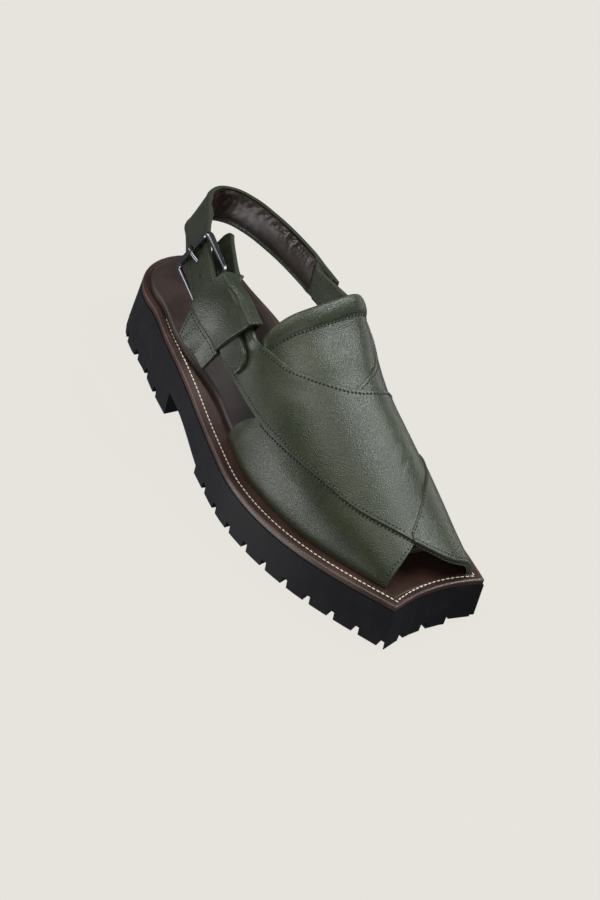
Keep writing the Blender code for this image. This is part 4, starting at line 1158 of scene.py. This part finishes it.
def dress_strap():
    straight = STRAP_LENGTH - BILLET_WIDTH / 2

    def lengthwise(s):
        if s < TIP_FROM:
            return straight * s / TIP_FROM
        return straight + BILLET_WIDTH / 2 * math.sin(math.pi / 2 * (s - TIP_FROM) / 0.06)

    def place(s, t, w):
        length = lengthwise(s)
        width = end_width(STRAP_LENGTH - length, strap_width(length))
        across = width * (spread(t) - 0.5)
        border = min(width / 2 - abs(across), STRAP_LENGTH - length)
        thick = strap_thickness(length)
        if w > 0.5:
            out = thick / 2 - edge_drop(border, STRAP_EDGE)
        else:
            shell = SHELL * (1 - 0.75 * ease(width / 2 - abs(across), 0.0, SHELL))
            fold = ease(-across, width / 2 - 0.0034, width / 2 - 0.0028) * SHELL
            out = -thick / 2 + padded_share(length) * (thick - LINING_INSET - shell - fold)
        return on_strap(length, across, out)

    def mark(s, t, w):
        length = lengthwise(s)
        width = end_width(STRAP_LENGTH - length, strap_width(length))
        return math.exp(-min(width * min(spread(t), 1 - spread(t)), STRAP_LENGTH - length) / 0.0007)
    piece(grid_solid(260, 30, place, mark), "heel_strap_leather", [STRAP_GREEN, STRAP_GREEN],
          "strap_leather", ["heel_strap"])

    def lining_place(s, t, w):
        length = STRAP_LENGTH * mix(LINING_START, LINING_END, spread(s))
        width = strap_width(length)
        low, high = -width / 2 + 0.0030, width / 2 - 0.0010
        across = mix(low, high, spread(t))
        thick = strap_thickness(length)
        if w > 0.5:
            return on_strap(length, across, thick / 2 - 0.0014)
        swell = 1 - abs(2 * spread(t) - 1) ** 3
        end = ease(min(spread(s), 1 - spread(s)), 0.0, 0.02)
        bend = math.exp(-((length / STRAP_LENGTH - 0.42) / 0.05) ** 2)
        top = ease(spread(t), 0.45, 0.95)
        slant = length + 0.5 * across
        fold = noise.noise(Vector((slant / 0.0040, across / 0.007, 3.0)))
        fold += 0.6 * noise.noise(Vector((slant / 0.0018, across / 0.0035, 7.0)))
        depth = (0.00012 + 0.0007 * bend + 0.00075 * top * top) * min(swell * 3, 1.0)
        out = -thick / 2 + 0.0009 - 0.0012 * swell * end + depth * fold
        return on_strap(length, across, out)
    pad = piece(grid_solid(240, 44, lining_place), "heel_strap_pad", [PAD, PAD], "strap_leather",
                ["heel_strap"])

    def cover_place(s, t, w):
        length = STRAP_LENGTH * (COVER_START + COVER_SHARE * s)
        slant = 0.0035 * (t - 0.5)
        width = strap_width(length) - 0.0006
        lean = -strap_thickness(length) / 2 - (0.0010 if w < 0.5 else -0.0008)
        return on_strap(length + slant, width * (spread(t) - 0.5), lean)
    piece(grid_solid(20, 14, cover_place), "heel_strap_cover", [STRAP_GREEN, STRAP_GREEN], "strap_leather",
          ["heel_strap"])

    for side in (1, -1):
        def edge_seam(share):
            length = STRAP_LENGTH * share
            across = side * (strap_width(length) / 2 - STRAP_SEAM_INSET)
            return on_strap(length, across, strap_face(length, across)), way_out(length, across)
        sew("green", even_line(edge_seam, 0.02, 0.90, 199), hole=HOLE_WIDTH)

    def lining_seam(share):
        length = STRAP_LENGTH * share
        across = -strap_width(length) / 2 + LINING_INSET
        inward = on_strap(length, across, -1.0) - on_strap(length, across, 0.0)
        return on_strap(length, across, -strap_thickness(length) / 2 + 0.0006), inward
    sew("green", even_line(lining_seam, 0.09, 0.42, 159), pitch=0.0028)

    def tip_edge(k):
        angle = math.pi / 2 * k / 8
        inner = BILLET_WIDTH / 2 - STRAP_SEAM_INSET
        return straight + inner * math.sin(angle), inner * math.cos(angle)
    turn = [tip_edge(k) for k in range(9)]
    turn += [(length, -across) for length, across in turn[-2::-1]]
    out = strap_face(straight, 0.0)
    sew("green", [(on_strap(length, across, out), way_out(length, across)) for length, across in turn],
        hole=HOLE_WIDTH)

    spare = on_strap(HINGE_AT - 0.22 * BUCKLE_LENGTH, 0.0, BILLET / 2)
    ahead = (on_strap(HINGE_AT, 0.0, 0.0) - on_strap(HINGE_AT - 0.002, 0.0, 0.0)).normalized()
    slot = on_strap(HINGE_AT - 0.70 * BUCKLE_LENGTH, 0.0, BILLET / 2)
    # near-black ovals over the spare hole and the prong's slot are painted shade; no hole is cut
    hole_shade_discs = bmesh.new()
    for spot, size in ((spare, (0.0024, 0.0022, 0.0006)),
                       (slot, (PRONG_SLOT_LENGTH, PRONG_SLOT_WIDTH, 0.0008))):
        bmesh.ops.create_uvsphere(hole_shade_discs, u_segments=16, v_segments=8, radius=0.5,
                                  matrix=bead_matrix(spot, ahead, way_out(HINGE_AT), size))
    piece(hole_shade_discs, "strap_hole_painted_shade", [PAINTED_HOLE_SHADE], "strap_leather")


def dress_ear():
    start, sleeve_end = BAR_AT - EAR_TAIL, KEEPER_AT + KEEPER_LENGTH
    end = sleeve_end + 0.55 * KEEPER_LENGTH

    def place(s, t, w):
        length = mix(start, end, s ** EAR_CROWDING)
        wide = ease(length, BAR_AT, HINGE_AT - KEEPER_GAP)
        width = end_width(length - start + CLEARANCE, mix(EAR_TAIL_WIDTH, EAR_WIDTH, wide))
        across = width * (spread(t) - 0.5)
        border = min(width / 2 - abs(across), length - start + CLEARANCE)
        out = ear_out(length) - (EAR_THICKNESS if w < 0.5 else edge_drop(border, THIN_EDGE))
        point = on_strap(length, across + mix(EAR_TAIL_SHIFT, EAR_SHIFT, wide), out)
        sink = ease(length, sleeve_end + 2 * KEEPER_SLANT, end - 0.06 * KEEPER_LENGTH)
        if sink:
            girth = lateral_girth(point.x, point.z)
            lift = BAND_FACE - 3 * CLEARANCE if w > 0.5 else 1.8 * LAYER_STEP + 2 * CLEARANCE
            point = point.lerp(last_point(point.x, girth) + last_normal(point.x, girth) * lift, sink)
        return point

    def mark(s, t, w):
        length = (end - start) * s ** EAR_CROWDING
        return math.exp(-min(EAR_WIDTH * min(spread(t), 1 - spread(t)), length) / 0.0007)
    parts = [grid_solid(120, 30, place, mark)]
    middle, back, aside, face = hinge_axes()
    inner = WIRE_RADIUS + CLEARANCE
    near, far = PRONG_RADIUS + 3 * CLEARANCE, BUCKLE_HALF - BUCKLE_CORNER - CLEARANCE
    for side in (-1, 1):
        def fold(s, t, w):
            angle = 2 * math.pi * s
            way = back * math.cos(angle) + face * math.sin(angle)
            radius = inner + KNUCKLE_WALL * w
            return middle + way * radius + aside * side * mix(near, far, t) - face * 2 * CLEARANCE * w
        parts.append(grid_solid(32, 4, fold, loop=True))
    piece(join(parts), "buckle_ear", [STRAP_GREEN, STRAP_GREEN], "upper_leather", ["upper"])


def dress_keeper():
    bottom = EAR_SHIFT - EAR_WIDTH / 2 - 2 * CLEARANCE

    def ring(length, share, w, angle_share):
        top = EAR_SHIFT + EAR_WIDTH / 2 + 2 * CLEARANCE + KEEPER_SPREAD * share
        grow = KEEPER_WALL * w
        high = BILLET / 2 + 2 * CLEARANCE + grow
        low = ear_out(length) - EAR_THICKNESS - 4 * CLEARANCE - grow
        corner = 0.4 * BILLET + grow
        left, right = bottom - grow, top + grow
        runs = ((right, high, 0), (left, high, 90), (left, low, 180), (right, low, 270))
        points = []
        for across, out, start in runs:
            across += -corner if across == right else corner
            out += -corner if out == high else corner
            for k in range(7):
                angle = math.radians(start + 15 * k)
                points.append((across + corner * math.cos(angle), out + corner * math.sin(angle)))
        points.append(points[0])
        lengths = [0.0]
        for one, two in zip(points, points[1:]):
            lengths.append(lengths[-1] + math.dist(one, two))
        goal = angle_share * lengths[-1]
        k = 0
        while k < len(points) - 2 and lengths[k + 1] < goal:
            k += 1
        t = (goal - lengths[k]) / max(lengths[k + 1] - lengths[k], 1e-9)
        return tuple(mix(one, two, t) for one, two in zip(points[k], points[k + 1]))

    def place(s, t, w):
        share = spread(t)
        length = KEEPER_AT + KEEPER_LENGTH * share
        border = min(share, 1 - share) * KEEPER_LENGTH
        across, out = ring(length, share, w, s)
        middle = (bottom + EAR_SHIFT + EAR_WIDTH / 2) / 2
        if w > 0.5:
            drop = edge_drop(border, THIN_EDGE)
            across += (middle - across) * drop / (EAR_WIDTH / 2)
            out -= drop * (1 if out > -0.001 else -1)
            if out > 0:
                swell = 1 - ((across - middle) / (EAR_WIDTH / 2)) ** 2
                out += 0.0015 * max(swell, 0.0)
        slant = KEEPER_SLANT * share
        return on_strap(length + slant * across / EAR_WIDTH, across, out)

    def mark(s, t, w):
        return math.exp(-min(spread(t), 1 - spread(t)) * KEEPER_LENGTH / 0.0006)
    sleeve = grid_solid(160, 44, place, mark, loop=True)

    def flange_spot(s, t, w):
        length = KEEPER_AT + CLEARANCE + (KEEPER_LENGTH - 2 * CLEARANCE) * (s + 0.22 * t * (1 - s))
        across = bottom - 0.4 * KEEPER_WALL - KEEPER_FLANGE * t
        border = min(min(s, 1 - s) * KEEPER_LENGTH, (1 - t) * KEEPER_FLANGE)
        out = BILLET / 4 + FLANGE_THICKNESS * (w - 0.5) * (1 - 0.3 * t)
        if w > 0.5:
            out -= edge_drop(border, THIN_EDGE)
        return on_strap(length, across, out), border

    def flange_place(s, t, w):
        return flange_spot(spread(s), t, w)[0]

    def flange_mark(s, t, w):
        return math.exp(-flange_spot(spread(s), t, w)[1] / 0.0006)
    flange = grid_solid(60, 30, flange_place, flange_mark)
    piece(join([sleeve, flange]), "keeper_sleeve", [STRAP_GREEN, STRAP_GREEN], "keeper_leather",
          ["strap_keeper"])

    for kind, seam in (("dark", even_line(lambda s: flange_spot(s, 0.16, 1.0)[0], 0.03, 0.97 - 0.03, 30)),
                       ("green", even_line(lambda t: flange_spot(0.07, t, 1.0)[0], 0.24, 0.96 - 0.24, 30))):
        sew(kind, [(point, way_out(KEEPER_AT)) for point in seam], hole=HOLE_WIDTH)


def dress_buckle():
    middle, back, aside, face = hinge_axes()
    reach = (on_strap(BAR_AT, 0.0, BAR_OUT) - middle).length
    rail = BUCKLE_HALF - BUCKLE_CORNER
    route, radii = [], []
    turns = ((reach - BUCKLE_CORNER, 1, 0), (BUCKLE_CORNER, 1, 90),
             (BUCKLE_CORNER, -1, 180), (reach - BUCKLE_CORNER, -1, 270))
    for along, side, start in turns:
        for k in range(9):
            angle = math.radians(start + 11.25 * k)
            across = side * rail + BUCKLE_CORNER * math.sin(angle)
            spot = along + BUCKLE_CORNER * math.cos(angle)
            route.append(middle + back * spot + aside * across)
            thick = 1.45 if side > 0 else 1.0
            radii.append(WIRE_RADIUS * (thick if BUCKLE_CORNER < spot < reach else 0.95))
    full, sizes = [], []
    for k, point in enumerate(route):
        after = route[(k + 1) % len(route)]
        steps = max(1, round((after - point).length / 0.0009))
        for n in range(steps):
            full.append(point.lerp(after, n / steps))
            sizes.append(radii[k] + (radii[(k + 1) % len(radii)] - radii[k]) * n / steps)
    piece(tube(full, sizes, 20, closed=True), "buckle_loop", [STEEL], "buckle_metal", ["buckle_frame"])

    bar = []
    for side in (-1, 1):
        near, far = PRONG_RADIUS * 1.5, rail + 0.2 * BUCKLE_CORNER

        def sleeve(s, t, w):
            angle = 2 * math.pi * s
            radius = WIRE_RADIUS * (0.9 if w < 0.5 else 1.30)
            square = max(abs(math.cos(angle)), abs(math.sin(angle)))
            radius *= 1.0 if w < 0.5 else 0.86 / max(square, 0.78)
            across = side * mix(near, far, t)
            return (middle + back * (reach + radius * math.cos(angle)) + aside * across
                    + face * radius * math.sin(angle))
        bar.append(grid_solid(32, 10, sleeve, loop=True))
    piece(join(bar), "buckle_bar_sleeves", [STEEL], "buckle_metal", ["buckle_frame"], sharp=30)

    hook = WIRE_RADIUS + CLEARANCE + PRONG_RADIUS
    route = []
    for k in range(25):
        angle = math.radians(70 - 11.25 * k)
        route.append(middle - back * hook * math.cos(angle) + face * hook * math.sin(angle))
    tip_out = BAR_OUT + WIRE_RADIUS + CLEARANCE + PRONG_RADIUS
    under = -BILLET / 2 - CLEARANCE - PRONG_RADIUS
    rise = ((0.30, 1.25 * under), (0.50, under), (0.62, 0.35 * under), (0.74, 0.42 * tip_out),
            (0.85, 0.82 * tip_out), (0.95, tip_out), (1.03, 0.98 * tip_out), (1.09, 0.72 * tip_out))
    for k in range(60):
        share = rise[0][0] + (rise[-1][0] - rise[0][0]) * k / 59
        out = read_table(rise, share)[0]
        route.append(on_strap(HINGE_AT - BUCKLE_LENGTH * share, 0.0, out))
    count = len(route)
    radii = [PRONG_RADIUS * (1.15 if k < count - 6 else 1.15 * math.sqrt(1 - ((k - count + 6) / 6.3) ** 2))
             for k in range(count)]
    piece(tube(route, radii, 16), "buckle_pin", [STEEL], "prong_metal", ["buckle_prong"])


def sew_welt():
    up = Vector((0.0, 0.0, 1.0))
    line = [(point, up) for point in welt_route(side_shares(0.135, 0.30), WELT_STITCH_INSET, -0.0001)]
    sew("cream", line, pitch=0.0030, length=0.0025, width=0.00085)


dress_sole()
dress_upper()
dress_strap()
dress_ear()
dress_keeper()
dress_buckle()
sew_welt()
finish_stitches()


# Camera, floor and light

CAMERA_AZIMUTH = math.radians(49.13)
CAMERA_ELEVATION = math.radians(39.86)
CAMERA_ROLL = math.radians(16.11)
CAMERA_DISTANCE = 1.825
CAMERA_TARGET = Vector((0.16685, 0.00148, 0.025))
FRAME_HEIGHT = 36.0
FOCAL_LENGTH = 128.48


def view_axes():
    azimuth, height, roll = CAMERA_AZIMUTH, CAMERA_ELEVATION, CAMERA_ROLL
    back = Vector((math.sin(azimuth) * math.cos(height), -math.cos(azimuth) * math.cos(height),
                   math.sin(height)))
    level = Vector((math.cos(azimuth), math.sin(azimuth), 0.0))
    upright = back.cross(level)
    return (level * math.cos(roll) + upright * math.sin(roll),
            upright * math.cos(roll) - level * math.sin(roll), back)


def add_camera():
    right, up, back = view_axes()
    data = bpy.data.cameras.new("camera")
    data.sensor_fit = "VERTICAL"
    data.sensor_height = FRAME_HEIGHT
    data.lens = FOCAL_LENGTH
    camera = put("camera", data)
    turn = Matrix((right, up, back)).transposed().to_4x4()
    camera.matrix_world = Matrix.Translation(CAMERA_TARGET + TO_ORIGIN + back * CAMERA_DISTANCE) @ turn
    bpy.context.scene.camera = camera


# name, where it hangs, where it aims, its width and height, its power in watts and its tint.
# The bounce comes from under the floor, as light thrown back by a white studio floor would.
SOFTBOXES = (
    ("ridge_softbox", (0.20, 0.56, 1.20), (0.05, 0.0, 0.07), (0.80, 0.24), 12.5, (0.95, 0.98, 1.0)),
    ("side_softbox", (-0.06, -0.55, 1.28), (0.0, 0.0, 0.05), (0.8, 0.45), 8.0, (1.0, 0.99, 0.95)),
    ("bounce_softbox", (-0.17, -0.62, -0.22), (0.03, -0.04, 0.05), (0.50, 0.26), 1.9, (1.0, 1.0, 1.0)),
    ("far_softbox", (0.10, 1.30, 0.13), (0.05, 0.0, 0.05), (1.6, 0.26), 4.0, (1.0, 1.0, 1.0)),
    ("heel_softbox", (-0.9, -0.75, 0.55), (-0.08, 0.0, 0.08), (0.35, 0.7), 2.6, (1.0, 1.0, 1.0)),
    ("toe_softbox", (1.3, -0.2, 0.45), (0.15, 0.0, 0.02), (0.8, 0.5), 4.0, (1.0, 1.0, 1.0)),
)


def add_softbox(name, where, aim, size, power, tint):
    data = bpy.data.lights.new(name, "AREA")
    data.shape = "RECTANGLE"
    data.size, data.size_y = size
    data.energy = power
    data.color = tint
    lamp = put(name, data)
    way = Vector(aim) - Vector(where)
    lamp.rotation_euler = way.to_track_quat("-Z", "Y").to_euler()
    lamp.location = where


def add_floor():
    bm = bmesh.new()
    bmesh.ops.create_grid(bm, x_segments=1, y_segments=1, size=6.0)
    mesh = bpy.data.meshes.new("floor")
    bm.to_mesh(mesh)
    bm.free()
    floor = put("floor", mesh)
    look = Look("pale_floor")
    here = look.place()
    tone = look.blend(look.noise(here, 0.5), (0.020, 0.0198, 0.0186), (0.022, 0.0216, 0.0204))
    look.set(Base_Color=tone, Roughness=0.9, Specular_IOR_Level=0.0,
             Emission_Color=(0.772, 0.752, 0.703), Emission_Strength=1.0)
    mesh.materials.append(look.material)
    floor.visible_diffuse = floor.visible_glossy = floor.visible_shadow = False


def add_light():
    world = bpy.data.worlds.new("studio")
    bpy.context.scene.world = world
    world.use_nodes = True
    background = world.node_tree.nodes["Background"]
    background.inputs["Color"].default_value = (0.90, 0.93, 1.0, 1.0)
    background.inputs["Strength"].default_value = 0.16
    for softbox in SOFTBOXES:
        add_softbox(*softbox)


add_floor()
add_light()
add_camera()
bpy.context.scene.view_settings.view_transform = "Standard"
